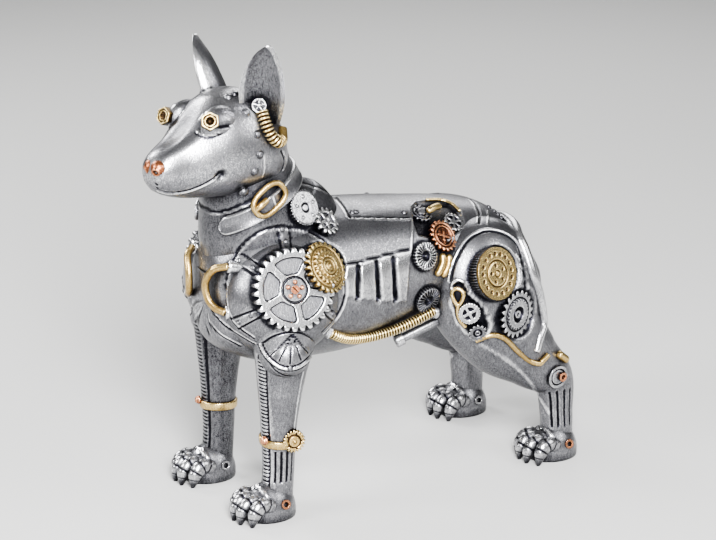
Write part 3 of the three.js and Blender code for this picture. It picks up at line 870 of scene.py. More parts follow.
# The head's lines: the mouth, the split under the nose, the slit behind the eye and the rear plate.
MOUTH = [(157.4, 189), (168.3, 192.2), (184.8, 191), (201.4, 185.2), (212.9, 178.8), (220, 174.5)]
NOSE_SPLIT = [(155.8, 179), (156.6, 184), (157.4, 189)]
LID = [(196, 130), (201, 134), (208, 135.6), (215, 134.5), (220, 131.5)]
UPPER_LID = [(199, 119), (203, 113.5), (209, 111.5), (215, 113)]
EYE_SLIT = [(219.5, 127), (224, 126.8), (229.5, 125)]
REAR_SEAM = [(281, 151), (284.2, 159.7), (282.6, 168.6), (277.6, 177.6)]
PLATE_LINE = [(262, 178), (264.5, 168), (264, 155)]
HEAD_LINES = [
    (MOUTH, 0.95, 0.22),
    (ridge_beside(MOUTH, 1.8), 1.2, -0.1),
    (NOSE_SPLIT, 0.9, 0.3),
    (LID, 1.6, -0.16),
    (ridge_beside(LID, 2.2), 1.4, 0.1),
    (UPPER_LID, 1.3, -0.12),
    (EYE_SLIT, 2.4, 0.5),
    *seam(REAR_SEAM, -1.8),
    (PLATE_LINE, 0.9, -0.08),
]


# Soft hollows of the head, as pixel, length, width, depth and tone, the tone a painted shade: the mouth's
# corner, then the socket.
HEAD_DENTS = [
    ((221, 175.5), 2.0, 1.6, 0.8, -0.9),
    ((182, 127), 9.5, 5.0, 1.1, -0.18),
    ((168, 141), 5.5, 2.6, 0.3, -0.5),
]
NECK_RIM = [
    (195.3, 200.6), (201.4, 208.3), (213.7, 213.6), (225.9, 212.9), (238.2, 208.3), (251.9, 203.4),
]


def head_marks():
    marks = lines(HEAD_LINES, on_head=True)
    way = head_way(1, 0, -0.55)
    for pixel, along, across, depth, tone in HEAD_DENTS:
        centre = seen(pixel)[0]
        other = other_side(np.array([centre]), on_head=True)[0]
        marks.append(dent(centre, way, along, across, depth, tone))
        marks.append(dent(other, way, along, across, depth, tone))
    return marks


def neck_marks():
    return lines([(NECK_RIM, 1.1, -0.2), (ridge_beside(NECK_RIM, -2.2), 1.5, 0.2)])


def foreleg_marks(side):
    """The rule-like strip down the front, the grooves beside it and the flutes over the paw."""
    marks = elbow_marks(side)
    rule = leg_line(FORELEG, side, 12.0 if side == LEFT else 0.0, 35.5, 7.0)
    marks.append(strokes(rule, 1.1, 0.83, 0.2))
    for degrees in (-28, 28):
        marks.append(groove(leg_line(FORELEG, side, degrees, 37.0, 7.0), 0.3, 0.3))
    marks.append(groove(leg_line(FORELEG, side, 118, 32.0, 18.5), 0.3, -0.15))
    for degrees in (50, 72, 94, 116):
        marks.append(groove(leg_line(FORELEG, side, degrees, 14.8, 7.6), 0.34, 0.34))
    return marks


def hindleg_marks(side):
    return [groove(leg_line(HINDLEG, side, degrees, 15.5, 7.0), 0.34, 0.34) for degrees in (45, 68, 92, 116)]


def leg_line(table, side, degrees, high, low):
    """A line down a leg, turned outwards from its front by some degrees."""
    rows = even_rows(on_side(table, side), 200, [0, 1, 2])
    turn = math.radians(degrees)
    x = rows[:, 0] + side * math.sin(turn) * rows[:, 3]
    y = rows[:, 1] - math.cos(turn) * rows[:, 4]
    wanted = (rows[:, 2] <= high) & (rows[:, 2] >= low)
    return np.stack([x, y, rows[:, 2]], axis=1)[wanted][::3]


# How finely the pieces of a side are meshed: points round them and rows along them.
FINENESS = {
    LEFT: {"dome": (320, 100), "elbow": (150, 54), "foreleg": (104, 310), "hindleg": (110, 160)},
    RIGHT: {"dome": (140, 45), "elbow": (90, 36), "foreleg": (72, 220), "hindleg": (72, 100)},
}
# Painted shade on the right foreleg, for the body's shadow on it.
FORELEG_SHADE = {LEFT: 0.0, RIGHT: -0.45}


def make_body():
    marks = body_marks()
    make("torso", torso(), silver, marks, body=True)
    # Painted shade on the neck, a painted highlight on the head.
    make("neck", limb(NECK, 170, 90), silver, marks + neck_marks(), -0.25, body=True)
    make("head", head(), silver, head_marks(), 0.2, body=True)
    for side in BOTH:
        name = SIDE_NAME[side]
        fine = FINENESS[side]
        make(f"brow_{name}", brow(side), silver, head_marks(), body=True)
        make(f"ear_{name}", ear(side), silver, [ear_shade(side)], body=True)
        make(f"shoulder_{name}", dome(side, SHOULDER, *fine["dome"]), silver, marks, body=True)
        make(f"haunch_{name}", dome(side, HAUNCH, *fine["dome"]), silver, marks, body=True)
        elbow = dome(side, ELBOW, *fine["elbow"], ELBOW_SHARE)
        make(f"elbow_{name}", elbow, silver, elbow_marks(side), body=True)
        foreleg = limb(on_side(FORELEG, side), *fine["foreleg"])
        make(f"foreleg_{name}", foreleg, silver, foreleg_marks(side), FORELEG_SHADE[side], body=True)
        hindleg = limb(on_side(HINDLEG, side), *fine["hindleg"])
        make(f"hindleg_{name}", hindleg, silver, marks + hindleg_marks(side), body=True)


def ear_shade(side):
    """Painted highlight on the rims and painted shade in the speckled cup."""
    root, axis, face, across = ear_frame(side)

    def mark(points, normals):
        rel = points - root
        height = rel @ axis
        half = np.interp(height, [row[0] for row in EAR], [row[1] for row in EAR])
        x = np.abs(rel @ across) / half
        cup = (normals @ face > 0) * (1 - smooth(0.7, 0.95, x))
        return np.arange(len(points)), 0 * x, 0.8 * smooth(0.74, 0.86, x) - 0.1 * cup
    return mark


# The elbow's bowl: the wedges' common top and their feet, the bowl's rim, its crown and a lower line.
WEDGE_TOP = (292.7, 334)
WEDGE_FEET = [(271, 355.5), (279, 361), (290, 364), (301, 360), (308, 353)]
BOWL_RIM = [
    (262, 343), (266, 352), (273, 360), (281, 365.5), (290, 367), (299, 364.5), (307, 358), (313, 350),
    (316, 342),
]
BOWL_CROWN = [
    (263.3, 342.8), (272, 337), (282, 333.5), (292.7, 332), (303, 333.5), (311, 337.5), (315.6, 342.8),
]
BELOW_BOWL = [(270, 364), (275, 370), (281.2, 374), (288, 376), (295, 375.6)]
ELBOW_LINES = [
    *[([WEDGE_TOP, foot], 0.8, 0.25) for foot in WEDGE_FEET],
    (BOWL_RIM, 0.9, 0.28),
    (ridge_beside(BOWL_RIM, 2.2), 1.5, -0.25),
    (ridge_beside(BOWL_RIM, 4.3), 0.8, 0.2),
    (BOWL_CROWN, 1.0, 0.28),
    (BELOW_BOWL, 0.9, 0.25),
]


def elbow_marks(side):
    """Wedges that fan out from the top of the elbow's bowl, and the bowl's rim."""
    return lines(ELBOW_LINES)[0 if side == LEFT else 1::2]


# Wheels: a face is a height over the radius and the turn, both arrays.
def trench(r, at, half, deep):
    return -deep * (1 - smooth(0.5 * half, half, np.abs(r - at)))


def pits(r, a, count, at, size, deep, turn=0.0):
    """Round pits on a circle; a depth under 0 makes studs."""
    pitch = TAU / count
    off = (a - turn + pitch / 2) % pitch - pitch / 2
    away = np.hypot(r - at, at * off)
    return -deep * (1 - smooth(0.6 * size, size, away))


def windows(r, a, count, inner, outer, half_spoke, deep, rounding, turn=0.0):
    """Rounded openings between spokes."""
    pitch = TAU / count
    off = np.abs((a - turn + pitch / 2) % pitch - pitch / 2)
    from_spoke = r * np.sin(np.minimum(off, math.pi / 2)) - half_spoke
    from_rings = np.minimum(r - inner, outer - r)
    short = np.maximum(rounding - from_spoke, 0)
    low = np.maximum(rounding - from_rings, 0)
    inside = rounding - np.hypot(short, low)
    return -deep * smooth(0, 0.22, inside)


def tooth_edge(radius, teeth, depth, sharp=0.3, root=0.42):
    """A rim's radius over the turn: teeth whose tops are a share of the pitch wide."""
    def edge(a):
        if not teeth:
            return np.full_like(a, radius)
        beat = np.abs((a * teeth / TAU) % 1 - 0.5) * 2
        return radius - depth * (1 - smooth(root - sharp, root + sharp, beat))
    return edge


def wheel(radius, teeth, depth, sunk, face=None, rings=None, sharp=0.3, bevel=0.1):
    """A wheel face that looks along +Z, with its toothed rim down to a depth."""
    turns = even_turns(max(128 if radius > 1.2 else 48, teeth * 8))
    rings = rings or (max(12, round(radius * 5.5)) if face else 3)
    edge = tooth_edge(radius, teeth, depth, sharp)(turns)
    root = radius - depth - 0.02
    loops = []
    heights = []
    for r in np.linspace(0.03 * radius, root, rings):
        radii = np.full_like(turns, r)
        loops.append(radii)
        heights.append(face(radii, turns) if face else 0 * turns)
    last = heights[-1]
    for inset, drop in ((bevel, 0), (0, bevel), (0, sunk)):
        loops.append(np.maximum(edge - inset, root + 0.01))
        heights.append(last - drop)
    around = [np.stack([r * np.cos(turns), r * np.sin(turns), h], axis=1) for r, h in zip(loops, heights)]
    return skin(around)


def great_face(radius):
    def face(r, a):
        R = radius
        height = windows(r, a, 5, 0.36 * R, 0.79 * R, 0.07 * R, 0.5, 0.1 * R, 1.03)
        return height + trench(r, 0.3 * R, 0.04 * R, 0.4)
    return face


def stepped_face(radius, rings_at, studs):
    """Stacked rings that rise to the hub."""
    def face(r, a):
        height = 0 * r
        for share, rise, half in rings_at:
            height = height + rise * (1 - smooth(share * radius - half, share * radius, r))
            height = height + trench(r, share * radius + 0.12, 0.16, 0.22)
        for count, share, size, deep in studs:
            height = height + pits(r, a, count, share * radius, size, deep)
        return height
    return face


def wheel_at(side, y, z, radius, proud, swing=0.0):
    """A frame on the flank for a wheel; a swing turns its face towards the rear, in degrees."""
    place, turn = side_frame(side, y - step_of(side, y), z, radius)
    if swing:
        turned = np.array(Matrix.Rotation(side * math.radians(swing), 3, "Z")) @ turn
        turn = frame_at(place, turned[:, 2])[1]
    return place + turn[:, 2] * proud, turn


def collar_face(r, a):
    return trench(r, 0.85, 0.18, 0.3) + pits(r, a, 5, 2.3, 0.36, -0.16, 0.3) - 0.1 * (r > 3.45)


def pinion_face(r, a):
    return windows(r, a, 5, 0.85, 2.0, 0.2, 0.45, 0.3, 0.6) + pits(r, a, 1, 0.0, 0.35, 0.3)


def rib_face(radius):
    def face(r, a):
        beat = np.abs((a * 20 / TAU) % 1 - 0.5) * 2
        inner = smooth(0.35, 0.65, beat) * 0.34
        second = 0.5 * (1 - smooth(0.60 * radius + inner, 0.64 * radius + inner, r))
        beat = np.abs((a * 16 / TAU) % 1 - 0.5) * 2
        out = 0.22 * (beat > 0.5)
        third = 0.35 * (1 - smooth(0.40 * radius + out, 0.44 * radius + out, r))
        height = second + third + trench(r, 0.33 * radius, 0.16, 0.25) + trench(r, 0.2 * radius, 0.16, 0.3)
        return height + trench(r, 0.79 * radius, 0.14, 0.14) + pits(r, a, 1, 0, 0.4, -0.25)
    return face


def haunch_face(radius):
    def face(r, a):
        height = pits(r, a, 17, 0.76 * radius, 0.4, 0.7)
        height = height + trench(r, 0.5 * radius, 0.14, 0.25) + pits(r, a, 5, 0.32 * radius, 0.42, 0.3, 0.4)
        height = height + trench(r, 0.46 * radius, 0.08, 0.1) + 0.1 * (1 - smooth(0.46, 0.5, r / radius))
        return height + trench(r, 0.13 * radius, 0.14, 0.25) + pits(r, a, 1, 0, 0.35, -0.25)
    return face


def spur_face(radius):
    def face(r, a):
        beat = np.abs((a * 24 / TAU) % 1 - 0.5) * 2
        rise = 0.3 * (1 - smooth(0.56 * radius + 0.3 * (beat > 0.5), 0.60 * radius + 0.3 * (beat > 0.5), r))
        bore = -1.0 * (1 - smooth(0.3 * radius, 0.34 * radius, r))
        hub = 0.85 * (1 - smooth(0.16 * radius, 0.2 * radius, r)) + trench(r, 0.0, 0.42, 0.5)
        return rise + bore + hub + trench(r, 0.7 * radius, 0.14, 0.25)
    return face


def four_windows(r, a):
    return windows(r, a, 4, 0.45, 1.5, 0.2, 0.35, 0.3, 0.5)


def star_face(radius):
    """Radial strokes round a dark hub."""
    def face(r, a):
        ribs = 0.16 * np.cos(22 * a) * smooth(0.36 * radius, 0.44 * radius, r) * (r < 0.88 * radius)
        bore = -0.7 * (1 - smooth(0.28 * radius, 0.36 * radius, r))
        return ribs + bore + pits(r, a, 1, 0.0, 0.4, -0.6)
    return face


def loin_face(radius):
    def face(r, a):
        height = trench(r, 0.7 * radius, 0.2, 0.3) - 0.35 * (1 - smooth(0.52 * radius, 0.6 * radius, r))
        cross = np.minimum(np.abs(r * np.cos(a + 0.5)), np.abs(r * np.sin(a + 0.5)))
        arms = 0.3 * (1 - smooth(0.2, 0.4, cross)) * (r < 0.5 * radius)
        return height + arms + pits(r, a, 6, 0.4 * radius, 0.3, 0.3)
    return face


# Where each wheel of the left side sits: y, height, radius and the swing of its face in degrees.
WHEEL_SPOTS = {
    "great_wheel": (-18.6, 50.0, 8.5, 0),
    "rib_wheel": (-11.5, 52.9, 5.5, 10),
    "haunch_wheel": (29.5, 45.5, 5.6, 18),
    "hip_spur": (34.6, 35.9, 5.2, 10),
    "collar_wheel": (-11.6, 64.1, 3.75, 0),
    "pinion": (-7.0, 60.4, 3.0, 0),
    "loin_wheel": (20.5, 53.4, 3.5, 12),
    "flank_wheel": (14.8, 50.6, 3.0, 4),
    "low_flank_wheel": (15.6, 41.0, 3.0, 0),
    "thigh_wheel": (23.3, 37.9, 2.4, 0),
}
FAR_GREAT_WHEEL = (-16.6, 50.0, 7.4, 0)
# The body is cut flat under these, because it would stand above their backs.
SEATED = ("great_wheel", "rib_wheel", "haunch_wheel", "hip_spur")
GREAT_PROUD = 1.2
RIB_PROUD = {LEFT: 1.7, RIGHT: 1.0}
HAUNCH_PROUD = 0.85
WHEEL_SUNK = 3.0
SHIN_PINION = (477.3, 332.2)


def make_wheel(name, side, spot, teeth, depth, proud, material, face, tone=0.0, sharp=0.3, floor=-0.7,
               thick=None):
    """A wheel on the flank; a thick one stands on a narrower core, painted black as shade."""
    y, z, radius, swing = spot
    place, turn = wheel_at(side, y, z, radius, proud, swing)
    whole = proud + WHEEL_SUNK
    mesh = wheel(radius, teeth, depth, thick or whole, face, sharp=sharp)
    carved = wheel_shade(place, turn[:, 2], floor)
    if thick:
        core = placed(wheel(radius - depth - 0.7, 0, 0, whole - 0.5), (place - turn[:, 2] * 0.6, turn))
        make(f"{name}_core_{SIDE_NAME[side]}", core, silver, tone=-1.0)
    make(f"{name}_{SIDE_NAME[side]}", placed(mesh, (place, turn)), material, [carved], tone)


def wheel_shade(place, out, floor=-0.7):
    """Painted shade below the face and on the rim's walls, a painted highlight on top; the floor is the tone
    of its hollows.
    """
    def mark(points, normals):
        height = (points - place) @ out
        low = np.where(height < -0.8, -1.0, floor)
        wall = smooth(0.06, 0.35, 1 - normals @ out)
        shade = np.where(height < -0.1, low, 0.3) + 0.25 * np.clip(height, -0.3, 0.5) - 0.9 * wall
        return np.arange(len(points)), 0 * height, shade
    return mark


def wheel_shadows():
    """A painted shadow on the body under the wheels and between their teeth."""
    marks = []
    for name, (y, z, radius, swing) in WHEEL_SPOTS.items():
        place, turn = wheel_at(LEFT, y, z, radius, 0, swing)
        marks.append(shadow(place, turn[:, 2], radius, name in SEATED))
    return marks


def shadow(place, out, radius, seated):
    """A painted shadow behind a wheel; a seat is cut flat where the body stands above it."""
    lowest = -4
    highest = 4 if seated else 0.3

    def mark(points, normals):
        rel = points - place
        height = rel @ out
        away = np.linalg.norm(rel - np.outer(height, out), axis=1)
        level = (height > lowest) & (height < highest) & (normals @ out > 0.3)
        near = np.flatnonzero(level & (away < radius + 0.9))
        share = 1 - smooth(radius, radius + 0.8, away[near])
        cut = np.clip(height[near] + 0.5, 0, 4) if seated else 0 * share
        return near, -share * cut, -0.9 * share
    return mark


def left_wheels():
    """The wheels that only the left side has: teeth, their depth, how proud, paint, face and the rest."""
    loin, flank, low_flank, spur = (
        WHEEL_SPOTS[name][2] for name in ("loin_wheel", "flank_wheel", "low_flank_wheel", "hip_spur")
    )
    return {
        "collar_wheel": (36, 0.25, 1.0, silver, collar_face, {"tone": 0.1}),
        "pinion": (
            13, 0.7, 1.2, silver, pinion_face, {"tone": 0.8, "thick": 1.4, "sharp": 0.2, "floor": -0.3},
        ),
        "loin_wheel": (18, 0.6, 0.7, copper, loin_face(loin), {"sharp": 0.45, "thick": 1.1}),
        "flank_wheel": (26, 0.25, 0.9, silver, star_face(flank), {"tone": 0.1}),
        "low_flank_wheel": (30, 0.2, 0.9, silver, star_face(low_flank), {"tone": -0.4}),
        "hip_spur": (20, 1.0, 0.15, silver, spur_face(spur), {"sharp": 0.5, "thick": 0.9}),
        "thigh_wheel": (24, 0.2, 0.9, silver, four_windows, {"tone": 0.2}),
    }


def make_side_wheels():
    for side in BOTH:
        great, teeth = (WHEEL_SPOTS["great_wheel"], 30) if side == LEFT else (FAR_GREAT_WHEEL, 24)
        make_wheel("great_wheel", side, great, teeth, 0.95, GREAT_PROUD, silver, great_face(great[2]),
                   tone=0.35, sharp=0.22, floor=0.05)
        hub(side, great)
        rib = WHEEL_SPOTS["rib_wheel"]
        make_wheel("rib_wheel", side, rib, 24, 0.7, RIB_PROUD[side], brass, rib_face(rib[2]),
                   tone=0.2, thick=1.3)
        haunch = WHEEL_SPOTS["haunch_wheel"]
        make_wheel("haunch_wheel", side, haunch, 0, 0, HAUNCH_PROUD, brass, haunch_face(haunch[2]),
                   tone=0.3, thick=0.8)
        knurl(side, haunch)
    for name, (teeth, depth, proud, material, face, rest) in left_wheels().items():
        make_wheel(name, LEFT, WHEEL_SPOTS[name], teeth, depth, proud, material, face, **rest)
    small = wheel(2.0, 12, 0.4, 2.0, small_pinion_face)
    make_in_frame("shin_pinion_left", small, seen_frame(SHIN_PINION), 0.5, silver, -0.4)


def small_pinion_face(r, a):
    return trench(r, 0.8, 0.25, 0.3) + pits(r, a, 1, 0, 0.3, 0.3)


def make_in_frame(name, mesh, at, proud, material, tone=0.0, shaded=True):
    place, turn = at
    place = place + turn[:, 2] * proud
    marks = [wheel_shade(place, turn[:, 2])] if shaded else ()
    make(name, placed(mesh, (place, turn)), material, marks, tone)


def hub(side, spot):
    """The great wheel's copper boss: a slotted screw with five balls around it."""
    y, z, radius, _ = spot
    place, turn = wheel_at(side, y, z, radius, GREAT_PROUD)
    disc = wheel(0.27 * radius, 0, 0, 0.6)
    make(f"great_hub_{SIDE_NAME[side]}", placed(disc, (place + turn[:, 2] * 0.15, turn)), silver, tone=0.3)
    balls = []
    for k in range(5):
        a = TAU * k / 5 + 0.2
        centre = 0.185 * radius * vec(math.cos(a), math.sin(a), 0) + vec(0, 0, 0.25)
        balls.append(ellipsoid(centre, UP, 0.52, 0.5, 16, 10))
    slot = wheel(0.105 * radius, 0, 0, 0.9, lambda r, a: -0.25 * (np.abs(r * np.sin(a + 0.9)) < 0.16), 12)
    balls.append(placed(slot, (vec(0, 0, 0.6), np.eye(3))))
    make(f"great_screw_{SIDE_NAME[side]}", placed(merged(balls), (place, turn)), copper, tone=0.1)


def knurl(side, spot):
    """Fine strokes round the thick wall of the haunch wheel, painted black as shade."""
    y, z, radius, swing = spot
    place, turn = wheel_at(side, y, z, radius, 0, swing)
    wall = wheel(radius + 0.12, 60, 0.3, HAUNCH_PROUD + 2.6)
    drum = placed(wall, (place + turn[:, 2] * (HAUNCH_PROUD - 0.7), turn))
    make(f"haunch_drum_{SIDE_NAME[side]}", drum, silver, tone=-1.0)


def ribbed(radius, length, spacing, share=0.16):
    ribs = max(1, round(length / spacing))
    return lambda t: radius * (1 + share * math.sin(TAU * ribs * t))


# Painted highlight on a ribbed hose's crests and painted shade between them.
def rib_shade(points, length, spacing):
    path = curve(points, 240)
    ribs = max(1, round(length / spacing))

    def mark(places, normals):
        _, gone = distance_along(places, path)
        return np.arange(len(places)), 0 * gone, 1.1 * np.sin(TAU * ribs * gone / length) - 0.15
    return mark


CHEST_RING = [
    (8.0, -25.5, 53.4), (7.4, -28.3, 54.1), (5.4, -30.6, 53.2), (3.5, -31.4, 50.0),
    (3.9, -31.2, 46.8), (5.6, -30.4, 45.0), (7.6, -29.2, 44.4), (8.4, -26.0, 44.4),
]
BELLY_HOSE = [
    (13.2, -11.0, 40.0), (14.6, -8.4, 38.2), (13.9, -4.0, 35.9), (13.2, 1.0, 34.9),
    (13.4, 6.5, 35.2), (13.9, 12.0, 36.5), (14.0, 17.4, 38.1),
]
BELLY_PIPE = [(10.6, 10.2, 31.6), (12.2, 18.6, 34.6), (12.2, 24.0, 36.0)]
TAIL = [
    (0, 41, 51), (5, 41.3, 51.8), (9.8, 40.3, 51.6), (13.4, 38.9, 50.6), (15.4, 39, 48.6),
    (17, 39.4, 45.6), (17.9, 40, 42.6), (17.9, 41.3, 39.4), (17.7, 42.5, 35.4), (17.8, 43, 31.6),
    (19, 41.3, 29.3), (19.7, 39.9, 26.3),
]
EAR_HOSE = [
    (4.8, 8.6, 85.0), (5.0, 9.8, 82.9), (4.5, 10.6, 80.5), (2.9, 10.6, 78.7), (0.9, 9.6, 78.7),
    (-0.4, 8.0, 80.4),
]
RIB_SPACING = {"belly": 0.66, "ear": 0.78}


def make_hoses():
    # The tail is painted lighter, a painted highlight.
    make("tail", tube(TAIL, lambda t: 1.7 - 0.8 * t, 28, 110), silver, tone=0.45, body=True)
    for side in BOTH:
        name = SIDE_NAME[side]
        flip = vec(side, 1, 1)
        ring_path = np.array(CHEST_RING) * flip
        make(f"chest_ring_{name}", tube(ring_path[1:-1], 0.78, 20, 70), brass)
        ferrules = [tube(ring_path[:2], 1.35, 20, 10), tube(ring_path[-2:], 1.35, 20, 10)]
        make(f"chest_ferrules_{name}", merged(ferrules), silver, tone=0.7)
        hose = np.array(BELLY_HOSE) * flip
        length = length_of(hose)
        spacing = RIB_SPACING["belly"]
        belly = tube(hose, ribbed(0.95, length, spacing, 0.2), 16, int(length / spacing) * 8)
        make(f"belly_hose_{name}", belly, brass, [rib_shade(hose, length, spacing)])
        ferrule = tube([hose[0] * 0.55 + hose[1] * 0.45, hose[1]], 1.4, 22, 12)
        make(f"belly_ferrule_{name}", ferrule, silver, tone=0.6)
        ear_path = np.array([head_point(ahead, out * side, height) for ahead, out, height in EAR_HOSE])
        length = length_of(ear_path[:5])
        spacing = RIB_SPACING["ear"]
        ribs = tube(ear_path[:5], ribbed(1.1, length, spacing, 0.14), 20, 120)
        make(f"ear_hose_{name}", ribs, brass, [rib_shade(ear_path[:5], length, spacing)])
        make(f"ear_elbow_{name}", tube(ear_path[3:], 1.1, 20, 40), brass, tone=0.1)
    make("belly_pipe", tube(BELLY_PIPE, 0.95, 22, 40), silver, tone=0.1)
    pipe_end = np.array(BELLY_PIPE[0])
    pipe_way = unit(pipe_end - BELLY_PIPE[1])
    make("belly_pipe_nut", tube([pipe_end - pipe_way * 1.5, pipe_end + pipe_way * 0.1], 1.5, 8, 8), silver)
    mouth = wheel(0.8, 0, 0, 0.6, lambda r, a: -1.2 * (1 - smooth(0.5, 0.62, r)), 14)
    make_in_frame("belly_pipe_mouth", mouth, (pipe_end, frame_of(pipe_way)), 0.2, silver)


def frame_of(out):
    return frame_at(np.zeros(3), out)[1]


# The profile of a nut's face from its hole outwards: share of the radius, and height.
NUT_PROFILE = [
    (0.04, -0.9), (0.34, -0.85), (0.38, -0.25), (0.5, -0.12), (0.6, -0.02), (0.66, -0.25), (0.76, -0.28),
    (0.84, 0.02),
]


def nut(radius, length):
    """A hexagonal nut that looks along +Z, with a raised ring and a dark star hole."""
    turns = even_turns(96)
    six = radius / np.cos((turns + TAU / 12) % (TAU / 6) - TAU / 12) * 0.92
    loops = []
    for share, height in NUT_PROFILE:
        star = 1 + 0.2 * np.cos(6 * turns) * (share < 0.45)
        r = share * (radius + (six - radius) * share**2) * star
        loops.append((r, height))
    loops += [(six * 0.97, -0.02), (six, -0.14), (six, -length)]
    return skin([np.stack([r * np.cos(turns), r * np.sin(turns), 0 * turns + h], axis=1) for r, h in loops])


# Places in the head's frame: ahead, out and height. The nose stands a little to the left.
EYE = {LEFT: (16.7, 7.0, 84.8), RIGHT: (17.4, -6.4, 84.4)}
NOSE_ASIDE = 0.8


def make_head_fittings():
    for side in BOTH:
        name = SIDE_NAME[side]
        way = head_way(0.55, 0.8, 0.35) if side == LEFT else head_way(0.95, 0.12, 0.3)
        centre = head_point(*EYE[side]) + way * 1.3
        make_in_frame(f"eye_nut_{name}", nut(1.8, 2.6), (centre, frame_of(way)), 0.0, brass, 0.1)
        ear_spot = head_point(5.1, 8.2 * side, 86.3)
        out = head_way(math.cos(EAR_TURN), side * math.sin(EAR_TURN), 0.1)
        spoked = wheel(1.45, 0, 0, 1.2, lambda r, a: windows(r, a, 5, 0.26, 1.18, 0.07, 0.5, 0.1, 0.3), 24)
        make_in_frame(f"ear_wheel_{name}", spoked, (ear_spot, frame_of(out)), 0.9, silver, 0.35)
    nose_way = head_way(1, 0, 0.25)
    lobes = []
    for aside in (-0.85, 0.85):
        centre = head_point(26.3, NOSE_ASIDE + aside * 1.3, 76.5)
        lobes.append(ellipsoid(centre, nose_way, 1.65, 1.65, 40, 28))
    lobes.append(ellipsoid(head_point(25.7, NOSE_ASIDE, 75.3), nose_way, 1.6, 1.6, 40, 28))
    make("nose", merged(lobes), copper, [nostrils], -0.2)


def nostrils(points, normals):
    """A ringed hole low on each lobe of the nose."""
    rise = np.zeros(len(points))
    shade = np.zeros(len(points))
    for aside in (-1, 1):
        centre = head_point(27.6, NOSE_ASIDE + aside * 1.7, 75.9)
        away = np.linalg.norm(points - centre, axis=1)
        rise -= 0.5 * (1 - smooth(0.3, 0.55, away))
        rise += 0.18 * (1 - smooth(0.1, 0.3, np.abs(away - 0.75)))
        shade -= 1.5 * (1 - smooth(0.35, 0.6, away))
    return np.arange(len(points)), rise, shade


STRAP = {"wall": 0.8, "width": 3.6, "middle": (0, -18.4, 66.8), "normal": (0, -0.5, 1), "gap": 4.8}
# The strap's section: share of the half width, and share of the wall above the neck.
STRAP_PROFILE = [
    (-1, -0.4), (-1, 0.6), (-0.93, 0.88), (-0.8, 1.0), (-0.72, 0.9),
    (0.72, 0.9), (0.8, 1.0), (0.93, 0.88), (1, 0.6), (1, -0.4),
]
STRAP_ROWS = 160


def make_strap():
    """The strap lies on the neck between two slanting planes and stops at the throat."""
    centres = even_rows(NECK, STRAP_ROWS, [0, 1, 2])
    normal = unit(STRAP["normal"])
    ways = np.gradient(centres[:, :3], axis=0)
    turns = np.linspace(0, TAU, 541)
    sheets = []
    for i, (x, y, z, w, d) in enumerate(centres):
        path = unit(ways[i])
        depth = unit(np.cross(path, SIDEWAYS))
        side = unit(np.cross(depth, path))
        sheets.append(ring(vec(x, y, z), side, depth, w, d, d, turns))
    sheets = np.array(sheets)
    aside = (sheets - STRAP["middle"]) @ normal
    middle_row = sheets[STRAP_ROWS // 2]
    open_ones = (middle_row[:, 1] < -20) & (np.abs(middle_row[:, 0]) < STRAP["gap"] + 0.2)
    kept = np.flatnonzero(~open_ones)
    start = np.flatnonzero(np.diff(kept) > 1)
    order = np.r_[kept[start[0] + 1:], kept[:start[0] + 1]] if len(start) else kept
    half = STRAP["width"] / 2
    wall = STRAP["wall"]
    rings = []
    count = len(order)
    for n, k in enumerate(order):
        from_end = min(n, count - 1 - n) * 0.12
        narrow = math.sqrt(max(0.0, 1 - max(0.0, 1 - from_end / half) ** 2)) if from_end < half else 1.0
        around = []
        column = aside[:, k]
        for across, lift in STRAP_PROFILE:
            at = across * half * max(narrow, 0.03)
            place = np.array([np.interp(at, column, sheets[:, k, c]) for c in range(3)])
            middle = np.array([np.interp(0, column, centres[:, c]) for c in range(3)])
            out = unit((place - middle) * (1, 1, 0))
            around.append(place + out * wall * lift)
        rings.append(np.array(around))
    make("strap", skin(rings), silver, tone=0.25)


def make_buckle():
    place, turn = side_frame(LEFT, -19.9, 67.5, 3)
    lean = 0.62
    spin = np.array([[math.cos(lean), -math.sin(lean), 0], [math.sin(lean), math.cos(lean), 0], [0, 0, 1]])
    turn = turn @ spin
    turns = even_turns(24)
    cos = np.sign(np.cos(turns)) * np.abs(np.cos(turns)) ** 0.75
    sin = np.sign(np.sin(turns)) * np.abs(np.sin(turns)) ** 0.75
    link = np.stack([3.8 * cos, 2.4 * sin, 0 * cos + 0.9], axis=1)
    points = place + link @ turn.T
    make("buckle_link", tube(points, 0.58, 22, 120, closed=True), brass, tone=0.1)
    prong = place + np.array([(-3.6, 0.4, 0.9), (-2.2, 0.5, 1.3), (-0.4, 0.4, 1.0)]) @ turn.T
    make("buckle_prong", tube(prong, lambda t: 0.62 + 0.1 * math.sin(math.pi * t), 18, 30), brass, tone=0.1)


# Rivets and bolts, by the pixels they were read at.
SMALL_RIVETS = [
    (352.2, 212.1), (404.2, 212.1), (361.4, 193.2), (281.8, 229.6), (285.6, 241.6), (238.8, 260.8),
    (252.7, 267.4), (251.2, 315.5), (238.9, 321.8), (328.6, 309.5), (332.8, 313.8),
    (488.6, 207.2), (493.5, 210.8), (497.7, 214.2), (501.2, 217.8), (290, 369.2),
]
HEAD_RIVETS = [(246, 112.5), (257.6, 134.2), (260.2, 154.6), (255, 172), (228.2, 96.5), (234.6, 93.4)]
HEAD_SCREW = (242.2, 188.4)


def rivet(radius=0.62, height=0.45):
    turns = even_turns(16)
    loops = ((0.05, 1.0), (0.45, 0.93), (0.75, 0.72), (0.95, 0.35), (1.0, 0.0), (1.15, -0.05), (1.15, -0.8))
    return skin([
        np.stack([radius * r * np.cos(turns), radius * r * np.sin(turns), 0 * turns + height * h], axis=1)
        for r, h in loops
    ])


def mirrored_frame(at, on_head=False):
    place, turn = at
    other = other_side(np.array([place, place + turn[:, 2]]), on_head)
    return frame_at(other[0], unit(other[1] - other[0]))


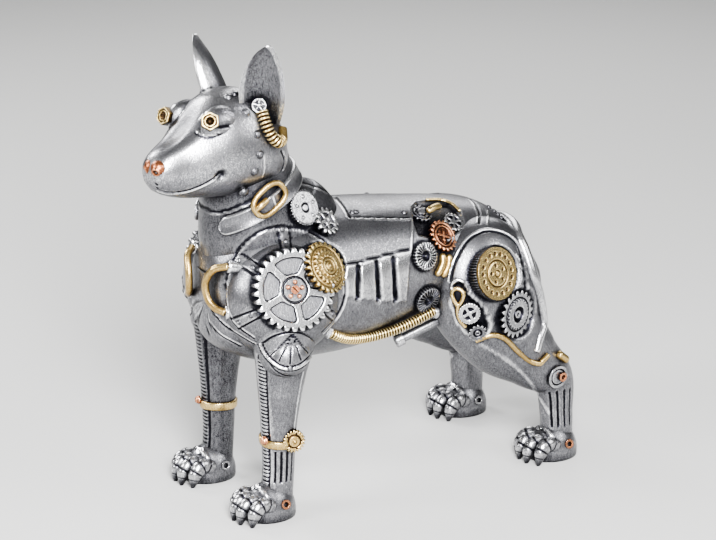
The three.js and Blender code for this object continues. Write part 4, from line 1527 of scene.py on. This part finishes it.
def make_rivets():
    spots = []
    for pixels, on_head, size in ((SMALL_RIVETS, False, 0.62), (HEAD_RIVETS, True, 0.78)):
        for pixel in pixels:
            at = seen_frame(pixel, 1.5)
            for one in (at, mirrored_frame(at, on_head)):
                spots.append(placed(rivet(size, 0.6 * size), (one[0] + one[1][:, 2] * 0.08, one[1])))
    at = seen_frame(HEAD_SCREW, 1.5)
    for one in (at, mirrored_frame(at, True)):
        spots.append(placed(tube([(0, 0, -0.5), (0, 0, 1.2)], 0.62, 18, 8), one))
        spots.append(placed(rivet(0.95, 0.5), (one[0] + one[1][:, 2] * 1.2, one[1])))
    make("rivets", merged(spots), silver, tone=0.3, turned=False)


# The works in the hollow of the loin. A bar's points are a pixel and how far it is lifted off the body.
LOIN_DARK_WHEEL = (421.5, 211.5)
LOIN_SPOKED_WHEEL = (454.5, 221)
LOIN_BAR = [((426.5, 213.5), 0.5), ((433, 210.5), 0.8), ((440, 208), 0.5)]
LOIN_ARC = [(426, 201), (440, 200.8), (451, 204.5), (459.5, 212)]


def make_loin():
    """Two dark wheels, a bar and a thin arc."""
    face = stepped_face(2.5, [(0.72, 0.2, 0.1), (0.4, 0.25, 0.1)], [(7, 0.56, 0.25, 0.25)])
    ringed = wheel(2.5, 14, 0.4, 1.6, face)
    make_in_frame("loin_dark_wheel", ringed, seen_frame(LOIN_DARK_WHEEL), -0.3, silver, -0.45)
    spoked = wheel(2.3, 16, 0.25, 1.4, lambda r, a: windows(r, a, 6, 0.6, 1.7, 0.16, 0.6, 0.2), 24)
    make_in_frame("loin_spoked_wheel", spoked, seen_frame(LOIN_SPOKED_WHEEL), -0.2, silver)
    bar = [lifted(pixel, by) for pixel, by in LOIN_BAR]
    make("loin_bar", rounded_bar(bar, 0.75), brass, tone=0.2)
    arc = [lifted(pixel, 0.3) for pixel in LOIN_ARC]
    make("loin_arc", tube(arc, 0.32, 12, 40), brass, tone=0.2)


def lifted(pixel, by):
    place, out = seen(pixel)
    return place + out * by


def rounded_bar(points, radius, sides=20, count=40):
    return tube(points, lambda t: radius * math.sqrt(max(0.02, 1 - abs(2 * t - 1) ** 6)), sides, count)


# The fittings of the flank and the thigh, by pixels. The thigh's pipe starts clear of the body, in points.
FLANK_TUBES = {
    "front": [(441.5, 253), (441.5, 262), (439, 269), (435, 275.5)],
    "rear": [(447.8, 254), (447.5, 263), (445, 270), (441, 276.5)],
}
FLANK_BALL = (437.3, 311.9)
THIGH_LOOP = [
    (457.5, 288.5), (462.8, 292), (462.5, 298.5), (458.3, 304.5), (453.6, 298.5), (452.6, 291.5),
]
THIGH_LOOP_TAIL = [(458.4, 303), (457.7, 311), (459.8, 319), (465.4, 325.9)]
THIGH_PIPE = [
    (18.2, 25.2, 31.2), (19.6, 28.6, 32.2), (20.1, 31.5, 31.0), (19.9, 34.6, 27.8), (19.5, 37.9, 24.8),
]
THIGH_PIPE_END = [(538, 363), (542.5, 359.5), (547, 354.5)]


def make_flank():
    """Twin brass tubes behind the flank wheel, the teardrop loop and the curved pipe on the thigh."""
    for name, pixels in FLANK_TUBES.items():
        bar = [lifted(pixel, 0.4) for pixel in pixels]
        make(f"flank_tube_{name}", rounded_bar(bar, 0.78), brass, tone=0.2)
    make("flank_ball", ellipsoid(lifted(FLANK_BALL, 0.4), UP, 1.0, 1.25), silver, tone=0.6)
    loop = [lifted(pixel, 0.45) for pixel in THIGH_LOOP]
    make("thigh_loop", tube(loop, 0.42, 14, 70, closed=True), brass, tone=0.2)
    tail = [lifted(pixel, 0.45) for pixel in THIGH_LOOP_TAIL]
    make("thigh_loop_tail", tube(tail, 0.4, 14, 40), brass, tone=0.2)
    pipe = THIGH_PIPE + [lifted(pixel, 0.35) for pixel in THIGH_PIPE_END]
    make("thigh_pipe", tube(pipe, 0.6, 18, 110), brass, tone=0.1)


# The band round a foreleg: how far it stands off, its middle, and its section as height and share out.
ANKLET_OFF = 0.4
ANKLET_MIDDLE = vec(0, -20, 17.2)
ANKLET_PROFILE = [(-0.8, 0.7), (-0.8, 1.0), (-0.6, 1.04), (0.6, 1.04), (0.8, 1.0), (0.8, 0.7)]
ANKLET_ROWS = 300
ANKLET_SIDES = 72


def anklet(side):
    """A band that follows the foreleg between two slightly tilted planes."""
    table = [[x * side, y, z, w + ANKLET_OFF, d + ANKLET_OFF] for x, y, z, w, d in FORELEG]
    points, _ = limb(table, ANKLET_SIDES, ANKLET_ROWS)
    rings = points[:ANKLET_ROWS * ANKLET_SIDES].reshape(ANKLET_ROWS, ANKLET_SIDES, 3)[::-1]
    middles = rings.mean(1)
    aside = (rings - ANKLET_MIDDLE) @ unit((0.06 * side, 0.05, 1))
    loops = []
    for offset, out in ANKLET_PROFILE:
        loop = []
        for k in range(ANKLET_SIDES):
            column = aside[:, k]
            place = np.array([np.interp(offset, column, rings[:, k, c]) for c in range(3)])
            centre = np.array([np.interp(offset, column, middles[:, c]) for c in range(3)])
            loop.append(centre + (place - centre) * (1 + (out - 1) * 0.6))
        loops.append(np.array(loop))
    return skin(loops, ends=False)


def make_ankles():
    for side in BOTH:
        name = SIDE_NAME[side]
        make(f"anklet_{name}", anklet(side), brass, tone=-0.15)
        gear_at = frame_at(vec(16.9 * side, -18.6, 17.1), unit((side, -0.25, 0.1)))
        face = stepped_face(2.4, [(0.5, 0.2, 0.1)], [(5, 0.7, 0.25, 0.2), (1, 0, 0.35, -0.3)])
        gear = wheel(2.4, 20, 0.5, 1.6, face, sharp=0.25)
        make_in_frame(f"anklet_wheel_{name}", gear, gear_at, 0.0, brass, -0.1)
        bolt_at = frame_at(vec(13.9 * side, -24.1, 17.4), unit((0.3 * side, -1, 0)))
        make_in_frame(f"anklet_bolt_{name}", rivet(0.8, 0.6), bolt_at, 0.1, copper, 0.1, False)


# A paw: a domed foot with four banded toes that end in claws. Toes: aside and back from its middle.
TOES = [(-3.9, 1.3), (-1.35, 0), (1.35, 0), (3.9, 1.3)]
# A toe's path: share of its way aside, ahead, height, half width and half depth.
TOE = [
    [0.85, 4.3, 3.3, 1.15, 1.5],
    [0.95, 6.8, 4.3, 1.3, 1.6],
    [1.0, 8.8, 2.9, 1.2, 1.5],
    [1.02, 9.6, -0.2, 0.5, 0.6],
]
BANDS = 4
CLAW_FROM = 0.78
PAWS = {"fore": (12.6, -20.4), "hind": (16.2, 49.0)}


def toe_swell(t):
    """Four stepped bands and then a plain claw."""
    if t > CLAW_FROM:
        return -0.25 * (t - CLAW_FROM) / 0.22
    beat = (t / CLAW_FROM * BANDS) % 1
    return 0.3 * math.sqrt(max(0, 1 - (2 * beat - 1) ** 4)) - 0.22


def toe_shade(path):
    def mark(points, normals):
        _, gone = distance_along(points, path)
        share = gone / length_of(path)
        beat = (share / CLAW_FROM * BANDS) % 1
        band = 0.4 - 1.3 * (1 - smooth(0.0, 0.25, np.minimum(beat, 1 - beat)))
        return np.arange(len(points)), 0 * gone, np.where(share < CLAW_FROM, band, 0.2)
    return mark


def flat_soled(mesh):
    points, faces = mesh
    return np.stack([points[:, 0], points[:, 1], np.maximum(points[:, 2], 0)], axis=1), faces


def make_paws():
    for side in BOTH:
        for kind, (x, y) in PAWS.items():
            name = f"{kind}_{SIDE_NAME[side]}"
            x, y = x * side, y - step_of(side, y)
            ball, faces = ellipsoid((0, 0, 0), UP, 1, 1, 64, 40)
            foot = (ball * (4.7, 5.8, 6.4) + (x, y - 1.8, 1.2), faces)
            make(f"foot_{name}", flat_soled(foot), silver, foot_marks(side, x, y), -0.1, body=True)
            for n, (aside, back) in enumerate(TOES):
                rows = [[x + share * aside, y - ahead + back, z, w, d] for share, ahead, z, w, d in TOE]
                path = curve([row[:3] for row in rows], 30)
                toe = flat_soled(limb(rows, 20, 76, toe_swell))
                make(f"toe_{name}_{n}", toe, silver, [toe_shade(path)], -0.25, body=True)
            for way, where in ((side, "outer"), (-side, "inner")):
                bolt = frame_at(vec(x + 4.4 * way, y - 0.4, 3.6), unit((way, -0.1, 0.25)))
                ringed = wheel(1.0, 0, 0, 1.2, lambda r, a: -0.6 * (1 - smooth(0.45, 0.6, r)), 16)
                metal = copper if where == "outer" else silver
                make_in_frame(f"paw_bolt_{where}_{name}", ringed, bolt, 0.25, metal, 0.1)
            screw = frame_at(vec(x - 0.8 * side, y - 4.6, 6.55), unit((-0.1 * side, -0.5, 0.85)))
            head_of = wheel(0.85, 0, 0, 0.9, lambda r, a: -0.2 * (np.abs(r * np.sin(a + 0.6)) < 0.14), 12)
            make_in_frame(f"paw_screw_{name}", head_of, screw, 0.2, silver, 0.35)


def foot_marks(side, x, y):
    """The cuff's rim over the roots of the toes."""
    turns = np.linspace(0.06, 0.44, 24) * TAU
    cos = np.cos(turns)
    rim = np.stack([x + 4.9 * cos, y - 4.6 + 0.8 * np.abs(cos), 1.2 + 5.6 * np.sin(turns)], axis=1)
    return [groove(rim, 0.42, -0.3), groove(rim - (0, 0.6, 0), 0.4, 0.35)]


HOCK_Y = 45.8
HOCK_HEIGHT = 19.4
HOCK_TUBE = [((556.5, 353.5), 0.3), ((565, 361), 0.6)]


def make_hocks():
    """A disc with a ringed bolt on each hock, and the tube behind the left one."""
    for side in BOTH:
        step = step_of(side, HOCK_Y)
        at = side_frame(side, HOCK_Y - step, HOCK_HEIGHT, 1.5)
        bolt_at = side_frame(side, HOCK_Y + 0.8 - step, HOCK_HEIGHT, 1.5)
        name = SIDE_NAME[side]
        disc = wheel(2.5, 0, 0, 1.8, lambda r, a: trench(r, 1.75, 0.2, 0.2), 20)
        make_in_frame(f"hock_disc_{name}", disc, at, 0.6, silver, 0.1)
        ringed = wheel(1.0, 0, 0, 0.9, lambda r, a: -0.45 * (1 - smooth(0.42, 0.55, r)), 16)
        make_in_frame(f"hock_bolt_{name}", ringed, bolt_at, 1.3, copper, 0.1)
    tube_points = [lifted(pixel, by) for pixel, by in HOCK_TUBE]
    make("hock_tube", rounded_bar(tube_points, 0.95), brass, tone=0.1)


def make_stage():
    bpy.ops.mesh.primitive_plane_add(size=8)
    floor = bpy.context.object
    floor.name = "floor"
    material = bpy.data.materials.new("pale_floor")
    material.use_nodes = True
    shader = material.node_tree.nodes["Principled BSDF"]
    shader.inputs["Base Color"].default_value = (0.42, 0.42, 0.415, 1)
    shader.inputs["Roughness"].default_value = 0.8
    floor.data.materials.append(material)
    floor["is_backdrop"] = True


def area_light(name, place, aim, size, watts):
    data = bpy.data.lights.new(name, "AREA")
    data.shape = "RECTANGLE"
    data.size, data.size_y = size
    data.energy = watts
    light = bpy.data.objects.new(name, data)
    light.location = place
    light.rotation_euler = (Vector(aim) - Vector(place)).to_track_quat("-Z", "Y").to_euler()
    bpy.context.scene.collection.objects.link(light)


def make_lights():
    middle = (0, 0, 0.14)
    key = 1.1 * TO_CAMERA + 0.15 * PICTURE_RIGHT + vec(0, 0, 0.35)
    area_light("key", key, middle, (0.35, 0.75), 104)
    area_light("front", vec(-0.2, -1.1, 0.7), middle, (0.5, 0.6), 26)
    area_light("side", vec(0.7, 0.55, 0.6), middle, (0.5, 0.5), 9)
    area_light("top", vec(-0.8, 0.7, 0.85), middle, (0.5, 0.9), 9)
    area_light("back", vec(-1.0, -0.3, 0.85), middle, (0.45, 0.45), 20)
    world = bpy.data.worlds.new("studio")
    world.use_nodes = True
    world.node_tree.nodes["Background"].inputs["Color"].default_value = (0.8, 0.82, 0.85, 1)
    world.node_tree.nodes["Background"].inputs["Strength"].default_value = 0.05
    bpy.context.scene.world = world


def make_camera():
    data = bpy.data.cameras.new("camera")
    data.sensor_width = 36
    data.lens = FOCAL_PIXELS / PICTURE_WIDTH * data.sensor_width
    data.shift_x = -(MIDDLE_PIXEL[0] - PICTURE_WIDTH / 2) / PICTURE_WIDTH
    data.clip_end = 50
    camera = bpy.data.objects.new("camera", data)
    turn = np.stack([PICTURE_RIGHT, PICTURE_UP, TO_CAMERA], axis=1)
    place = Matrix.Translation((EYE_POINT - (0, MIDDLE, 0)) * U)
    camera.matrix_world = place @ Matrix(turn.tolist()).to_4x4()
    bpy.context.scene.collection.objects.link(camera)
    bpy.context.scene.camera = camera


make_body()
make_side_wheels()
make_hoses()
make_head_fittings()
make_strap()
make_buckle()
make_rivets()
make_loin()
make_flank()
make_ankles()
make_paws()
make_hocks()
make_stage()
make_lights()
make_camera()

[[list(corner) for corner in box] for box in (cad_box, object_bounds())]
